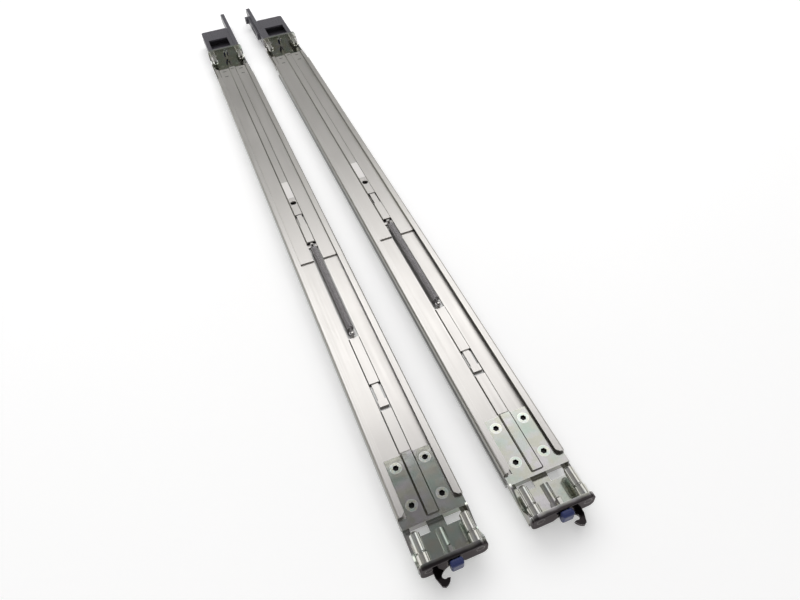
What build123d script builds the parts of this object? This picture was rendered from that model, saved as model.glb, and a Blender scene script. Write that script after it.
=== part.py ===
from build123d import *
import os
from math import cos, radians, sin, sqrt

# Sliding server rail pair, in millimetres.
# Each rail is first drawn in its own rail frame: x across the rail, y from the front lip of the
# zinc plate towards the rear, z = 0 on top of that plate, outward (rack post) face up.
# The left rail is drawn, and the right one is its mirror image.

# The pair and the standard rack
PAIR_SPACING = 70.5
RACK_HOLE_SPACING = 31.75
RACK_HOLE_FROM_POST_EDGE = 7.5
POST_THICKNESS = 2.5
POST_HOLE = 9.5

# Gaps and fits
FIT = 0.02
PIVOT_FIT = 0.05
RUN_GAP = 0.15
SIDE_CLEARANCE = 0.2
CUT = 1.0

# Outer channel
RAIL_WIDTH = 42.6
SHEET = 1.2
CHANNEL_BEND = 1.6
LIP_WIDTH = 5.2
LIP_TOP = 3.0
CHANNEL_FRONT = 2.0
CHANNEL_LENGTH = 583.0
LIP_SETBACK = 5.6
LIP_CHAMFER = 2.2
RIB_HALF_WIDTH = 4.4
WEB_RIB_GAP = 1.5
WEB_RIB_HEIGHT = 0.9
WEB_RIB_SLOPE = 0.8
STOP_WINDOW_FRONT = 80.0
STOP_WINDOW_LENGTH = 23.8
STOP_WINDOW_WIDTH = 8.2
STOP_SLOT = 1.7
STOP_BAR_LENGTH = 5.5
STOP_BAR_RISE = 0.7

# Ball slides
MEMBER_SHEET = 1.0
BALL_RADIUS = 1.5
GROOVE_CLEARANCE = 0.1
OUTER_BALL_DROP = 7.5
SLIDE_FRONT = 3.0
SLIDE_REAR_GAP = 4.0
MEMBER_SETBACK = 3.0
INTERMEDIATE_REAR_GAP = 15.0
INNER_REAR_GAP = 7.0
SLIDE_TRAVEL = 300.0
BALLS_PER_ROW = 6
BALL_PITCH = 42.0
CAGE_THICKNESS = 0.5
CAGE_FRONT_GAP = 19.0
CAGE_END = 10.0
CAGE_SPINE = 1.0
GROOVE_SPREAD = 52.0
OUTER_GROOVE_START = -68.0
OUTER_GROOVE_END = 62.0
MIDDLE_GROOVE_START = 140.0
MIDDLE_GROOVE_END = -65.0
INNER_GROOVE_START = 125.0
INNER_GROOVE_END = 242.0
GROOVE_OVERLAP = 2.0

# Front bracket
PLATE_LENGTH = 44.6
PLATE_CLEARANCE = 0.5
RIB_HEIGHT = 1.5
RIB_SLOPE = 1.2
RIB_START = 1.6
FLOOR_DROP = 4.5
TRAY_LENGTH = 25.4
BAR_THICKNESS = 3.6
BAR_TOP = 7.0
BAR_CORNER = 4.0
BAR_EDGE = 0.6
FINGER_ARCH_WIDTH = 14.0
FINGER_ARCH_HEIGHT = 4.2
FINGER_ARCH_DROP = 1.0
NOTCH_NEAR = 5.4
NOTCH_FAR = 16.4
NOTCH_LENGTH = 5.3
TRAY_RIB_WIDTH = 5.6
TRAY_RIB_HEIGHT = 1.3
GUSSET_WIDTH = 6.8
GUSSET_LENGTH = 6.0
GUSSET_HEIGHT = 2.5
BRACKET_SIDE_GAP = 0.3
# Upper edges of its side walls: (share of the tray's length, height)
LOW_WALL = [(0.0, -2.2), (0.31, -2.8), (0.67, -2.8), (1.0, 1.5)]
SWOOP_WALL = [(0.0, 0.0), (0.2, -0.2), (0.43, -2.6), (0.67, -2.4), (0.83, 1.6), (1.0, 4.5)]

# Countersunk screws and rivets
SCREW_X = 10.0
SCREW_FRONT = 11.1
SCREW_REAR = 37.3
SCREW_HEAD = 3.9
SCREW_SHANK = 2.0
SCREW_HEAD_DEPTH = 1.7
SOCKET_RADIUS = 2.1
SOCKET_DEPTH = 1.5
NUT_RIM = 1.2
NUT_HEIGHT = 0.8
RIVET_FIRST = 345.0
RIVET_REAR_GAP = 24.0
RIVET_COUNT = 4
RIVET_HEAD_HEIGHT = 0.7
RIVET_RIM = 1.0

# Locating pins for the square holes of the rack posts
PIN_BASE_RADIUS = 3.8
PIN_BASE_LENGTH = 6.5
PIN_TIP_RADIUS = 3.2
PIN_NECK = 0.5
PIN_CHAMFER = 1.5
PIN_END_GAP = 4.4
PIN_SPIGOT_RADIUS = 2.5

# Telescoping rear section
JOINT_Y = 240.1
REAR_PLATE_OVERHANG = 25.0
FLANGE_EDGE = 16.5
FLANGE_SLOPE = 0.9
PLATE_EDGE_GAP = 0.4
REAR_RIB_RISE = 1.3
REAR_RIB_SLOPE = 1.0
REAR_FLANGE = 3.0
REAR_FLANGE_TOP = 9.0
REAR_FLANGE_CORNER = 3.0
REAR_STEP_GAP = 1.5
REAR_TRAY_LENGTH = 34.5
TONGUE_GAP = 2.5
TONGUE_HALF_WIDTH = 14.5
REAR_OVAL_LENGTH = 11.0
REAR_OVAL_WIDTH = 5.0
REAR_OVAL_DEPTH = 1.2
SIGHT_HOLE_Y = 320.3
SIGHT_HOLE_RADIUS = 2.75
LANCE_REAR = 302.6
LANCE_LENGTH = 15.6
LANCE_LINE = 1.3
LANCE_HALF_WIDTH = 3.6
STAKE_LENGTH = 4.0
STAKE_WIDTH = 1.3
STAKE_GAP = 0.4
STAKE_X = 10.0
# Stake rows, as distances from the rear end of the plate
STAKE_ROWS = (19.0, 6.0)
STAKE_MIDDLE = 4.3
# Upper edge of the rear tray's walls: (share of the tray's length, height above the level part)
REAR_WALL = [(0.35, -1.2), (0.83, 0.4)]
REAR_WALL_TOP = 4.0

# Tension spring
SPRING_RADIUS = 3.0
SPRING_WIRE = 0.9
SPRING_AXIS_Z = 1.1
SPRING_FRONT = 150.2
SPRING_FRONT_NECK = 14.3
SPRING_REAR_NECK = 6.8
REAR_FINGER_SETBACK = 18.7
SPRING_LOOP = 2.0
FINGER_HALF_WIDTH = 0.8
FINGER_RISE = 1.8

# Chassis catch: its outline's points are (x from the left edge, y from the tip)
CATCH_THICKNESS = 1.8
CATCH_LEFT = -13.2
CATCH_RIGHT = 8.0
CATCH_ROOT = 16.0
CATCH_REACH = 8.8
CATCH_SLIDE_GAP = 0.4
CATCH_EDGE_END = (0.0, 6.8)
CATCH_SHOULDER = (1.8, 1.0)
CATCH_NOSE = (3.6, 0.0)
CATCH_NOSE_BEND = (6.2, 1.2)
CATCH_BARB = (8.2, 4.0)
CATCH_BARB_INSIDE = (6.4, 4.4)
CATCH_THROAT_BEND = (5.0, 4.2)
CATCH_THROAT = (4.0, 6.8)
CATCH_ARCH_BEND = (7.0, 9.1)
CATCH_ARCH_END = (12.2, 10.2)

# Post latches
LEVER_THICKNESS = 2.0
LATCH_PIN_RADIUS = 1.0
LATCH_PIVOT_RISE = 1.6
LATCH_SLOT_CLEARANCE = 0.25
LATCH_POST_GAP = 0.3
BARB_LENGTH = 2.2
BARB_GRIP = 1.1
BARB_RAMP = 1.0
BARB_CORNER = 0.8
ARM_RISE = 2.8
ARM_DROP = 0.4
ARM_TOP_GAP = 0.6
LATCH_TAIL = 2.2
BUTTON_WIDTH = 8.0
BUTTON_SIDE_GAP = 0.5
BUTTON_NEAR = 0.3
BUTTON_DEPTH = 4.6
BUTTON_DROP = 4.6
BUTTON_RISE = 4.0
BUTTON_EDGE = 1.5
POCKET_DEPTH = 2.3

# Cable arm bracket and hook
CABLE_BASE = 1.5
CABLE_LEFT = -19.0
CABLE_RIGHT = 15.0
CABLE_WALL = 1.8
CABLE_TOP = 4.0
CABLE_CORNER = 3.0
CABLE_FOOT_GAP = 6.5
CABLE_BOX_GAP = 7.0
CABLE_BOX_LENGTH = 60.0
CABLE_RIM = 5.0
CABLE_WINDOW_FROM_FRONT = 6.0
CABLE_WINDOW_LENGTH = 26.0
CABLE_PARTITION_FROM_FRONT = 40.0
CABLE_SCREW_X = 9.0
CABLE_SCREW_SETBACK = 16.5
CABLE_SCREW_HEAD_HEIGHT = 1.2
CABLE_SOCKET_DEPTH = 0.9
HOOK_REACH = 48.0
HOOK_TOP = 5.0
HOOK_WIDTH = 4.6
HOOK_EYE_RADIUS = 1.6
LOBE_LENGTH = 64.0
LOBE_HEIGHT = 9.2
LOBE_THICKNESS = 3.0
LOBE_FROM_BOX_END = 4.0
LOBE_SLOT_LENGTH = 30.0
LOBE_SLOT_WIDTH = 4.4
LOBE_SLOT_SHIFT = 8.0
KNOB_SHIFT = 28.0
KNOB_LENGTH = 6.4

# Server mounting slots and lock lever of the inner member
STUD_HEAD_RADIUS = 4.5
STUD_SLOT_WIDTH = 5.0
STUD_SLOT_LENGTH = 12.0
STUD_FRONT_GAP = 30.0
STUD_REAR_GAP = 26.0
STUD_COUNT = 3
LOCK_PIVOT_Y = 132.0
LOCK_RIVET_RADIUS = 2.0
LOCK_RIVET_RIM = 1.5
LOCK_RIVET_HEAD = 0.8
LOCK_ARM = 38.0
LOCK_HALF_WIDTH = 4.0
LOCK_EYE_RADIUS = 5.0
LOCK_TOOTH_REACH = 3.0
LOCK_TOOTH_REAR = 17.0
LOCK_TOOTH_LENGTH = 9.0
LOCK_TOOTH_RAMP = 4.0
THUMB_WINDOW_WIDTH = 11.0
THUMB_WINDOW_LENGTH = 16.0

# Heights and places that follow from the sizes above
WEB_TOP = -SHEET
WEB_BOTTOM = WEB_TOP - SHEET
HALF_WIDTH = RAIL_WIDTH / 2
BRACKET_HALF = HALF_WIDTH - BRACKET_SIDE_GAP
WALL_INSIDE = HALF_WIDTH - SHEET
LIP_INSIDE = HALF_WIDTH - LIP_WIDTH
LIP_BOTTOM = LIP_TOP - SHEET
CHANNEL_REAR = CHANNEL_FRONT + CHANNEL_LENGTH
PIN_X = RACK_HOLE_SPACING / 2
PIN_LENGTH = TRAY_LENGTH - SHEET - PIN_END_GAP
FLOOR_TOP = -FLOOR_DROP
FLOOR_BOTTOM = FLOOR_TOP - SHEET
PIN_Z = FLOOR_TOP + RACK_HOLE_FROM_POST_EDGE
BAR_REAR = -TRAY_LENGTH
BAR_FRONT = BAR_REAR - BAR_THICKNESS
REAR_PLATE_END = CHANNEL_REAR + REAR_PLATE_OVERHANG
REAR_STEP = REAR_PLATE_END + REAR_STEP_GAP
REAR_FACE = REAR_STEP + REAR_TRAY_LENGTH
REAR_BACK = REAR_FACE + REAR_FLANGE
TONGUE_START = CHANNEL_REAR + TONGUE_GAP
GROOVE_RADIUS = BALL_RADIUS + GROOVE_CLEARANCE
GROOVE_OUTSIDE = GROOVE_RADIUS + MEMBER_SHEET
GROOVE_STEP = GROOVE_RADIUS + GROOVE_OUTSIDE
BALL_1_X = HALF_WIDTH - SIDE_CLEARANCE - GROOVE_OUTSIDE
BALL_1_Z = WEB_BOTTOM - OUTER_BALL_DROP
BALL_2_X = BALL_1_X - GROOVE_STEP * cos(radians(GROOVE_SPREAD))
BALL_2_Z = BALL_1_Z - GROOVE_STEP * sin(radians(GROOVE_SPREAD))
SLIDE_WEB_BOTTOM = WEB_BOTTOM - MEMBER_SHEET
CATCH_BOTTOM = FLOOR_BOTTOM - CATCH_THICKNESS
INTERMEDIATE_TOP = CATCH_BOTTOM - CATCH_SLIDE_GAP
INNER_BOTTOM = BALL_2_Z - GROOVE_OUTSIDE
INNER_WEB_TOP = INNER_BOTTOM + MEMBER_SHEET
SLIDE_REAR = CHANNEL_REAR - SLIDE_REAR_GAP
MEMBER_FRONT = SLIDE_FRONT + MEMBER_SETBACK
INTERMEDIATE_REAR = SLIDE_REAR - INTERMEDIATE_REAR_GAP
INNER_REAR = SLIDE_REAR - INNER_REAR_GAP
CAGE_FRONT = MEMBER_FRONT + CAGE_FRONT_GAP + SLIDE_TRAVEL / 2
RIVET_PITCH = (CHANNEL_REAR - RIVET_REAR_GAP - RIVET_FIRST) / (RIVET_COUNT - 1)
STUD_SPAN = INNER_REAR - STUD_REAR_GAP - MEMBER_FRONT - STUD_FRONT_GAP
STUD_PITCH = STUD_SPAN / (STUD_COUNT - 1)
PLATE_FLAT = WEB_TOP + RUN_GAP + SHEET
PLATE_CREST = PLATE_FLAT + REAR_RIB_RISE
WEB_RIB_END = SPRING_FRONT - SHEET - CUT
SPRING_REAR = JOINT_Y + REAR_FINGER_SETBACK
COIL_FRONT = SPRING_FRONT + SPRING_FRONT_NECK
COIL_REAR = SPRING_REAR - SPRING_REAR_NECK
SPRING_SLOT_HALF = SPRING_RADIUS + SHEET
SPRING_SLOT_REAR = SPRING_REAR + SPRING_RADIUS + CUT
CABLE_FLOOR = FLOOR_BOTTOM - CABLE_BASE
CABLE_FOOT_START = REAR_STEP + CABLE_FOOT_GAP
CABLE_SCREW_Y = REAR_STEP + CABLE_SCREW_SETBACK
CABLE_BOX_START = REAR_BACK + CABLE_BOX_GAP
CABLE_BOX_END = CABLE_BOX_START + CABLE_BOX_LENGTH
CABLE_ARM_END = CABLE_BOX_END + HOOK_REACH
LOBE_Y = CABLE_BOX_END - LOBE_FROM_BOX_END


def along(sketch, y0, y1):
    """Extrude a cross-section, drawn as (x, z), from y0 to y1."""
    return Pos(0, y0, 0) * extrude(Plane.XZ * sketch, amount=-(y1 - y0))


def across(sketch, x0, x1):
    """Extrude a side profile, drawn as (y, z), from x0 to x1."""
    return Pos(x0, 0, 0) * extrude(Plane.YZ * sketch, amount=x1 - x0)


def upward(sketch, z0, z1):
    """Extrude a plan, drawn as (x, y), from z0 to z1."""
    return Pos(0, 0, z0) * extrude(sketch, amount=z1 - z0)


def block(x0, x1, y0, y1, z0, z1):
    """A box between two corners."""
    middle = Pos((x0 + x1) / 2, (y0 + y1) / 2, (z0 + z1) / 2)
    return middle * Box(abs(x1 - x0), abs(y1 - y0), abs(z1 - z0))


def polygon(points):
    """A closed face through the given points."""
    return make_face(Polyline(*points, close=True))


def area(x0, x1, y0, y1):
    """A rectangle between two corners."""
    return Pos((x0 + x1) / 2, (y0 + y1) / 2) * Rectangle(x1 - x0, y1 - y0)


def both_sides(points):
    """Points of the right half, mirrored and joined into a row from left to right."""
    return [(-x, z) for x, z in reversed(points)] + points


def formed_sheet(top, thickness):
    """The section of a sheet whose upper face follows the given row of points."""
    return polygon(top + [(x, z - thickness) for x, z in reversed(top)])


def groove(x, z, start, end):
    """The rolled ball groove: a sheet bent round a ball, from one angle to another."""
    inner = CenterArc((x, z), GROOVE_RADIUS, start, end - start)
    outer = CenterArc((x, z), GROOVE_OUTSIDE, start, end - start)
    sides = [Line(inner @ 0, outer @ 0), Line(inner @ 1, outer @ 1)]
    return make_face([inner, outer] + sides)


def pair_of(shape):
    """A section or a piece, and its mirror image across the rail's middle."""
    return shape + mirror(shape, about=Plane.YZ)


def cylinder_z(x, y, radius, z0, z1):
    """A round bar along z."""
    return Pos(x, y, (z0 + z1) / 2) * Cylinder(radius, z1 - z0)


def cylinder_x(y, z, radius, x0, x1):
    """A round bar along x."""
    return Pos((x0 + x1) / 2, y, z) * Rot(0, 90, 0) * Cylinder(radius, x1 - x0)


def cylinder_y(x, z, radius, y0, y1):
    """A round bar along y."""
    return Pos(x, (y0 + y1) / 2, z) * Rot(90, 0, 0) * Cylinder(radius, y1 - y0)


def outer_channel():
    """Roll-formed channel whose lips keep the telescoping plate captive."""
    middle_z = (LIP_TOP + WEB_BOTTOM) / 2
    height = LIP_TOP - WEB_BOTTOM
    outside = Pos(0, middle_z) * RectangleRounded(RAIL_WIDTH, height, CHANNEL_BEND)
    inside = Pos(0, middle_z) * RectangleRounded(
        RAIL_WIDTH - 2 * SHEET, height - 2 * SHEET, CHANNEL_BEND - SHEET
    )
    mouth = area(-LIP_INSIDE, LIP_INSIDE, LIP_BOTTOM - CUT, LIP_TOP + CUT)
    body = along(outside - inside - mouth, CHANNEL_FRONT, CHANNEL_REAR)
    wide = HALF_WIDTH + CUT
    body -= block(-wide, wide, CHANNEL_FRONT - CUT, LIP_SETBACK, WEB_TOP, LIP_TOP + CUT)
    body -= lip_corners()
    body = with_web_rib(body)
    body -= stop_window()
    body += stop_tongue()
    body -= spring_opening()
    body += spring_anchor()
    for x, y in front_screw_places():
        body -= cylinder_z(x, y, SCREW_HEAD, WEB_BOTTOM - CUT, LIP_TOP)
    recess = SCREW_SHANK + RIVET_RIM + FIT
    for y in slide_rivet_places():
        body -= cylinder_z(0, y, SCREW_SHANK + FIT, WEB_BOTTOM - CUT, WEB_TOP + CUT)
        body -= cylinder_z(0, y, recess, WEB_TOP - RIVET_HEAD_HEIGHT, WEB_TOP + CUT)
    return body


def lip_corners():
    """The front corners of the two lips, to be cut off at a slant."""
    right = polygon([
        (LIP_INSIDE, LIP_SETBACK),
        (LIP_INSIDE + LIP_CHAMFER, LIP_SETBACK),
        (LIP_INSIDE, LIP_SETBACK + LIP_CHAMFER),
    ])
    return pair_of(upward(right, LIP_BOTTOM - FIT, LIP_TOP + FIT))


def with_web_rib(body):
    """Press the stiffening rib into the web between the front bracket and the spring."""
    start = PLATE_LENGTH + WEB_RIB_GAP
    top = both_sides([
        (RIB_HALF_WIDTH - WEB_RIB_SLOPE, WEB_TOP + WEB_RIB_HEIGHT),
        (RIB_HALF_WIDTH, WEB_TOP),
    ])
    hollow = polygon([(x, z - SHEET) for x, z in top])
    pressed = body - along(hollow, start + SHEET, WEB_RIB_END - SHEET)
    return pressed + along(formed_sheet(top, SHEET), start, WEB_RIB_END)


def stop_window():
    """Lanced window in the front of the channel's web."""
    half = STOP_WINDOW_WIDTH / 2
    rear = STOP_WINDOW_FRONT + STOP_WINDOW_LENGTH
    return block(-half, half, STOP_WINDOW_FRONT, rear, WEB_BOTTOM - CUT, WEB_TOP + 2 * CUT)


def stop_tongue():
    """Travel stop left standing in the lanced window: a neck with a bent cross bar."""
    rear = STOP_WINDOW_FRONT + STOP_WINDOW_LENGTH
    bar_front = STOP_WINDOW_FRONT + 2 * STOP_SLOT
    bar_rear = bar_front + STOP_BAR_LENGTH
    neck_half = STOP_WINDOW_WIDTH / 2 - STOP_SLOT
    bar_half = STOP_WINDOW_WIDTH / 2 - STOP_SLOT / 2
    neck = block(-neck_half, neck_half, bar_front + CUT, rear, WEB_BOTTOM, WEB_TOP)
    bar = block(-bar_half, bar_half, bar_front, bar_rear, WEB_BOTTOM, WEB_TOP + STOP_BAR_RISE)
    return neck + bar


def spring_opening():
    """Slot in the web that lets the tension spring lie low between the lips."""
    half = SPRING_SLOT_HALF
    front = SPRING_FRONT - SHEET
    rear = COIL_REAR + 2 * SPRING_RADIUS
    return block(-half, half, front, rear, WEB_BOTTOM - CUT, WEB_TOP + 2 * CUT)


def spring_finger(front, foot):
    """Finger bent up from a sheet, round which a loop of the spring hooks."""
    half = FINGER_HALF_WIDTH
    return block(-half, half, front, front + SHEET, foot, SPRING_AXIS_Z + FINGER_RISE)


def spring_anchor():
    """The channel's finger for the spring's front loop, on a short tongue."""
    half = FINGER_HALF_WIDTH
    front = SPRING_FRONT - 2 * SHEET
    tongue = block(-half, half, front, SPRING_FRONT + SHEET, WEB_BOTTOM, WEB_TOP)
    return tongue + spring_finger(SPRING_FRONT, WEB_BOTTOM)


def front_screw_places():
    """Centres of the four countersunk screws of the front bracket."""
    return [(side * SCREW_X, y) for side in (-1, 1) for y in (SCREW_FRONT, SCREW_REAR)]


def slide_rivet_places():
    """Rivets that hold the slide under the channel, hidden below the rear plate's rib."""
    return [RIVET_FIRST + RIVET_PITCH * i for i in range(RIVET_COUNT)]


def side_wall(upper_edge, inner_x, outer_x):
    """Upright side wall of a bracket; its upper edge is a smooth curve."""
    first_foot = (upper_edge[0][0], FLOOR_BOTTOM)
    last_foot = (upper_edge[-1][0], FLOOR_BOTTOM)
    edges = [
        Spline(*upper_edge),
        Line(upper_edge[-1], last_foot),
        Line(last_foot, first_foot),
        Line(first_foot, upper_edge[0]),
    ]
    return across(make_face(edges), inner_x, outer_x)


def front_bracket():
    """Zinc-plated bracket: plate on the web, step, tray for the rack post and front bar."""
    wide = BRACKET_HALF
    step = block(-wide, wide, -SHEET, 0, FLOOR_BOTTOM, 0)
    floor = block(-wide, wide, BAR_REAR - SHEET / 2, 0, FLOOR_BOTTOM, FLOOR_TOP)
    body = front_plate() + step + floor
    notch_front = -SHEET - NOTCH_LENGTH
    low = FLOOR_BOTTOM - CUT
    body -= pair_of(block(NOTCH_NEAR, NOTCH_FAR, notch_front, -SHEET, low, FLOOR_TOP + FIT))
    body += tray_rib()
    low_edge = [(share * BAR_REAR, height) for share, height in LOW_WALL]
    swoop = [(share * BAR_REAR, height) for share, height in SWOOP_WALL]
    body += side_wall(low_edge, -wide, -wide + SHEET)
    body += side_wall(swoop, wide - SHEET, wide)
    body += front_bar()
    for x, y in front_screw_places():
        body -= countersink(x, y, 0)
    return body


def front_plate():
    """The bracket's plate on the channel's web, with its raised rib."""
    wide = BRACKET_HALF
    narrow = LIP_INSIDE - PLATE_CLEARANCE
    neck = LIP_SETBACK - PLATE_CLEARANCE
    plan = area(-wide, wide, 0, neck) + area(-narrow, narrow, 0, PLATE_LENGTH)
    plate = upward(plan, WEB_TOP, 0)
    top = both_sides([(RIB_HALF_WIDTH - RIB_SLOPE, RIB_HEIGHT), (RIB_HALF_WIDTH, 0)])
    plate += along(polygon(top), RIB_START, PLATE_LENGTH)
    hollow = both_sides([
        (RIB_HALF_WIDTH - RIB_SLOPE * 3 / 2, RIB_HEIGHT - SHEET),
        (RIB_HALF_WIDTH - RIB_SLOPE * 2 / 3, WEB_TOP - FIT),
    ])
    return plate - along(polygon(hollow), RIB_START + SHEET, PLATE_LENGTH + CUT)


def tray_rib():
    """Stiffening rib pressed up from the tray's floor, flaring out at the bar."""
    half = TRAY_RIB_WIDTH / 2
    foot = FLOOR_TOP - FIT
    arch = ThreePointArc((-half, foot), (0, FLOOR_TOP + TRAY_RIB_HEIGHT), (half, foot))
    section = make_face([arch, Line(arch @ 1, arch @ 0)])
    rib = along(section, BAR_REAR, -SHEET - NOTCH_LENGTH)
    gusset_side = polygon([
        (BAR_REAR, foot),
        (BAR_REAR + GUSSET_LENGTH, foot),
        (BAR_REAR, FLOOR_TOP + GUSSET_HEIGHT),
    ])
    return rib + across(gusset_side, -GUSSET_WIDTH / 2, GUSSET_WIDTH / 2)


def front_bar():
    """Front bar that lies on the face of the rack post, with its latch slot and finger arch."""
    middle_z = (BAR_TOP + FLOOR_BOTTOM) / 2
    height = BAR_TOP - FLOOR_BOTTOM
    face = Pos(0, middle_z) * RectangleRounded(2 * BRACKET_HALF, height, BAR_CORNER)
    arch_z = FLOOR_BOTTOM - FINGER_ARCH_DROP
    arch = Pos(0, arch_z) * Ellipse(FINGER_ARCH_WIDTH / 2, FINGER_ARCH_HEIGHT)
    bar = along(face, BAR_FRONT, BAR_REAR)
    front_edges = bar.edges().filter_by(Plane.XZ).group_by(Axis.Y)[0]
    bar = fillet(front_edges, BAR_EDGE) - along(arch, BAR_FRONT - CUT, BAR_REAR + CUT)
    return bar - spigot_bores(BAR_FRONT, BAR_REAR) - latch_cuts(BAR_FRONT, BAR_REAR)


def spigot_bores(low_y, high_y):
    """The two bores of a flange that hold the spigots of its pins."""
    radius = PIN_SPIGOT_RADIUS + FIT
    return pair_of(cylinder_y(PIN_X, PIN_Z, radius, low_y - CUT, high_y + CUT))


def countersink(x, y, top):
    """Countersunk hole from a named height downward."""
    cone = Pos(x, y, top - SCREW_HEAD_DEPTH / 2) * Cone(
        SCREW_SHANK + FIT, SCREW_HEAD + FIT, SCREW_HEAD_DEPTH
    )
    return cone + cylinder_z(x, y, SCREW_SHANK + FIT, WEB_BOTTOM - CUT, top)


def front_screws():
    """Four countersunk screws through bracket, channel and slide, each with its nut."""
    screws = []
    foot = SLIDE_WEB_BOTTOM - NUT_HEIGHT
    for x, y in front_screw_places():
        head = Pos(x, y, -SCREW_HEAD_DEPTH / 2) * Cone(SCREW_SHANK, SCREW_HEAD, SCREW_HEAD_DEPTH)
        socket = upward(Pos(x, y) * RegularPolygon(SOCKET_RADIUS, 6), -SOCKET_DEPTH, FIT)
        shank = cylinder_z(x, y, SCREW_SHANK, foot, FIT - SCREW_HEAD_DEPTH)
        nut = cylinder_z(x, y, SCREW_SHANK + NUT_RIM, foot, SLIDE_WEB_BOTTOM)
        screws.append(head + shank + nut - socket)
    return screws


def post_pin(x, face, way, spigot):
    """Stepped pin, standing on a flange face and pointing the given way along y."""
    tip_start = PIN_BASE_LENGTH + 2 * PIN_NECK
    pin = cylinder_y(0, 0, PIN_SPIGOT_RADIUS, -spigot, tip_start + PIN_NECK)
    pin += chamfered_end(cylinder_y(0, 0, PIN_BASE_RADIUS, 0, PIN_BASE_LENGTH), PIN_NECK)
    pin += chamfered_end(cylinder_y(0, 0, PIN_TIP_RADIUS, tip_start, PIN_LENGTH), PIN_CHAMFER)
    turn = Rot(0, 0, 0) if way > 0 else Rot(0, 0, 180)
    return Pos(x, face, PIN_Z) * turn * pin


def chamfered_end(bar, size):
    """A round bar along y with the edge of its far end broken."""
    end_edge = bar.edges().filter_by(GeomType.CIRCLE).sort_by(Axis.Y)[-1]
    return chamfer(end_edge, size)


def front_pins():
    """The two pins of the front bar."""
    return [post_pin(side * PIN_X, BAR_REAR, 1, BAR_THICKNESS) for side in (-1, 1)]


def rear_pins():
    """The two pins of the rear flange."""
    return [post_pin(side * PIN_X, REAR_FACE, -1, REAR_FLANGE) for side in (-1, 1)]


def catch_point(point):
    """A point of the catch's outline, placed below the front bar."""
    return CATCH_LEFT + point[0], BAR_FRONT - CATCH_REACH + point[1]


def chassis_catch():
    """Fixed hook below the front bar that the server's ear latch grips."""
    root = -CATCH_ROOT
    edge_end = catch_point(CATCH_EDGE_END)
    shoulder = catch_point(CATCH_SHOULDER)
    nose = catch_point(CATCH_NOSE)
    barb = catch_point(CATCH_BARB)
    barb_inside = catch_point(CATCH_BARB_INSIDE)
    throat = catch_point(CATCH_THROAT)
    arch_end = catch_point(CATCH_ARCH_END)
    right_corner = (CATCH_RIGHT, arch_end[1])
    edges = [
        Line((CATCH_LEFT, root), edge_end),
        Line(edge_end, shoulder),
        Line(shoulder, nose),
        ThreePointArc(nose, catch_point(CATCH_NOSE_BEND), barb),
        Line(barb, barb_inside),
        ThreePointArc(barb_inside, catch_point(CATCH_THROAT_BEND), throat),
        ThreePointArc(throat, catch_point(CATCH_ARCH_BEND), arch_end),
        Line(arch_end, right_corner),
        Line(right_corner, (CATCH_RIGHT, root)),
        Line((CATCH_RIGHT, root), (CATCH_LEFT, root)),
    ]
    return upward(make_face(edges), CATCH_BOTTOM, FLOOR_BOTTOM)


def latch_pivot(face_out, face_in):
    """Where the latch lever turns, inside the thickness of its flange."""
    return (face_out + face_in) / 2, PIN_Z + LATCH_PIVOT_RISE


def latch_cuts(face_out, face_in):
    """Slot, pin bore and button pocket of a latch, cut into its flange."""
    y, z = latch_pivot(face_out, face_in)
    low, high = sorted((face_out, face_in))
    half = LEVER_THICKNESS / 2 + LATCH_SLOT_CLEARANCE
    slot_low = PIN_Z - POST_HOLE / 2 + LATCH_SLOT_CLEARANCE
    slot_high = PIN_Z + ARM_RISE + ARM_TOP_GAP
    slot = block(-half, half, low - CUT, high + CUT, slot_low, slot_high)
    bore_half = BUTTON_WIDTH / 2 + CUT
    bore = cylinder_x(y, z, LATCH_PIN_RADIUS + FIT, -bore_half, bore_half)
    inward = 1 if face_in > face_out else -1
    near = face_out - inward * CUT
    far = face_out + inward * POCKET_DEPTH
    pocket_half = BUTTON_WIDTH / 2 + BUTTON_SIDE_GAP
    pocket_top = z - LATCH_PIN_RADIUS - RUN_GAP
    pocket = block(-pocket_half, pocket_half, near, far, FLOOR_BOTTOM + CUT, pocket_top)
    return slot + bore + pocket


def latch_lever(face_out, face_in):
    """Hook plate: an arm through the flange with a barb behind the rack post."""
    inward = 1 if face_in > face_out else -1
    y, z = latch_pivot(face_out, face_in)
    barb_front = face_in + inward * (POST_THICKNESS + LATCH_POST_GAP)
    barb_rear = barb_front + inward * BARB_LENGTH
    arm_top = PIN_Z + ARM_RISE
    arm_low = PIN_Z - ARM_DROP
    barb_low = PIN_Z - POST_HOLE / 2 - BARB_GRIP
    outer_end = face_out - inward * LATCH_TAIL
    profile = polygon([
        (outer_end, arm_low),
        (outer_end, arm_top),
        (barb_rear - inward * BARB_CORNER, arm_top),
        (barb_rear, arm_top - BARB_CORNER),
        (barb_rear, barb_low + BARB_RAMP),
        (barb_front, barb_low),
        (barb_front, arm_low),
    ])
    half = LEVER_THICKNESS / 2
    eye = cylinder_x(y, z, LATCH_PIN_RADIUS + PIVOT_FIT, -half - CUT, half + CUT)
    return across(profile, -half, half) - eye


def latch_button(face_out, face_in):
    """Rounded push button on the lever's outer end."""
    inward = 1 if face_in > face_out else -1
    near = face_out - inward * BUTTON_NEAR
    far = face_out - inward * BUTTON_DEPTH
    half = BUTTON_WIDTH / 2
    shell = block(-half, half, near, far, PIN_Z - BUTTON_DROP, PIN_Z + BUTTON_RISE)
    shell = fillet(shell.edges(), BUTTON_EDGE)
    return shell - latch_lever(face_out, face_in)


def latch_pin(face_out, face_in):
    """Pivot pin of the latch, held in the flange."""
    y, z = latch_pivot(face_out, face_in)
    half = BUTTON_WIDTH / 2 + CUT - FIT
    return cylinder_x(y, z, LATCH_PIN_RADIUS, -half, half)


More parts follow.
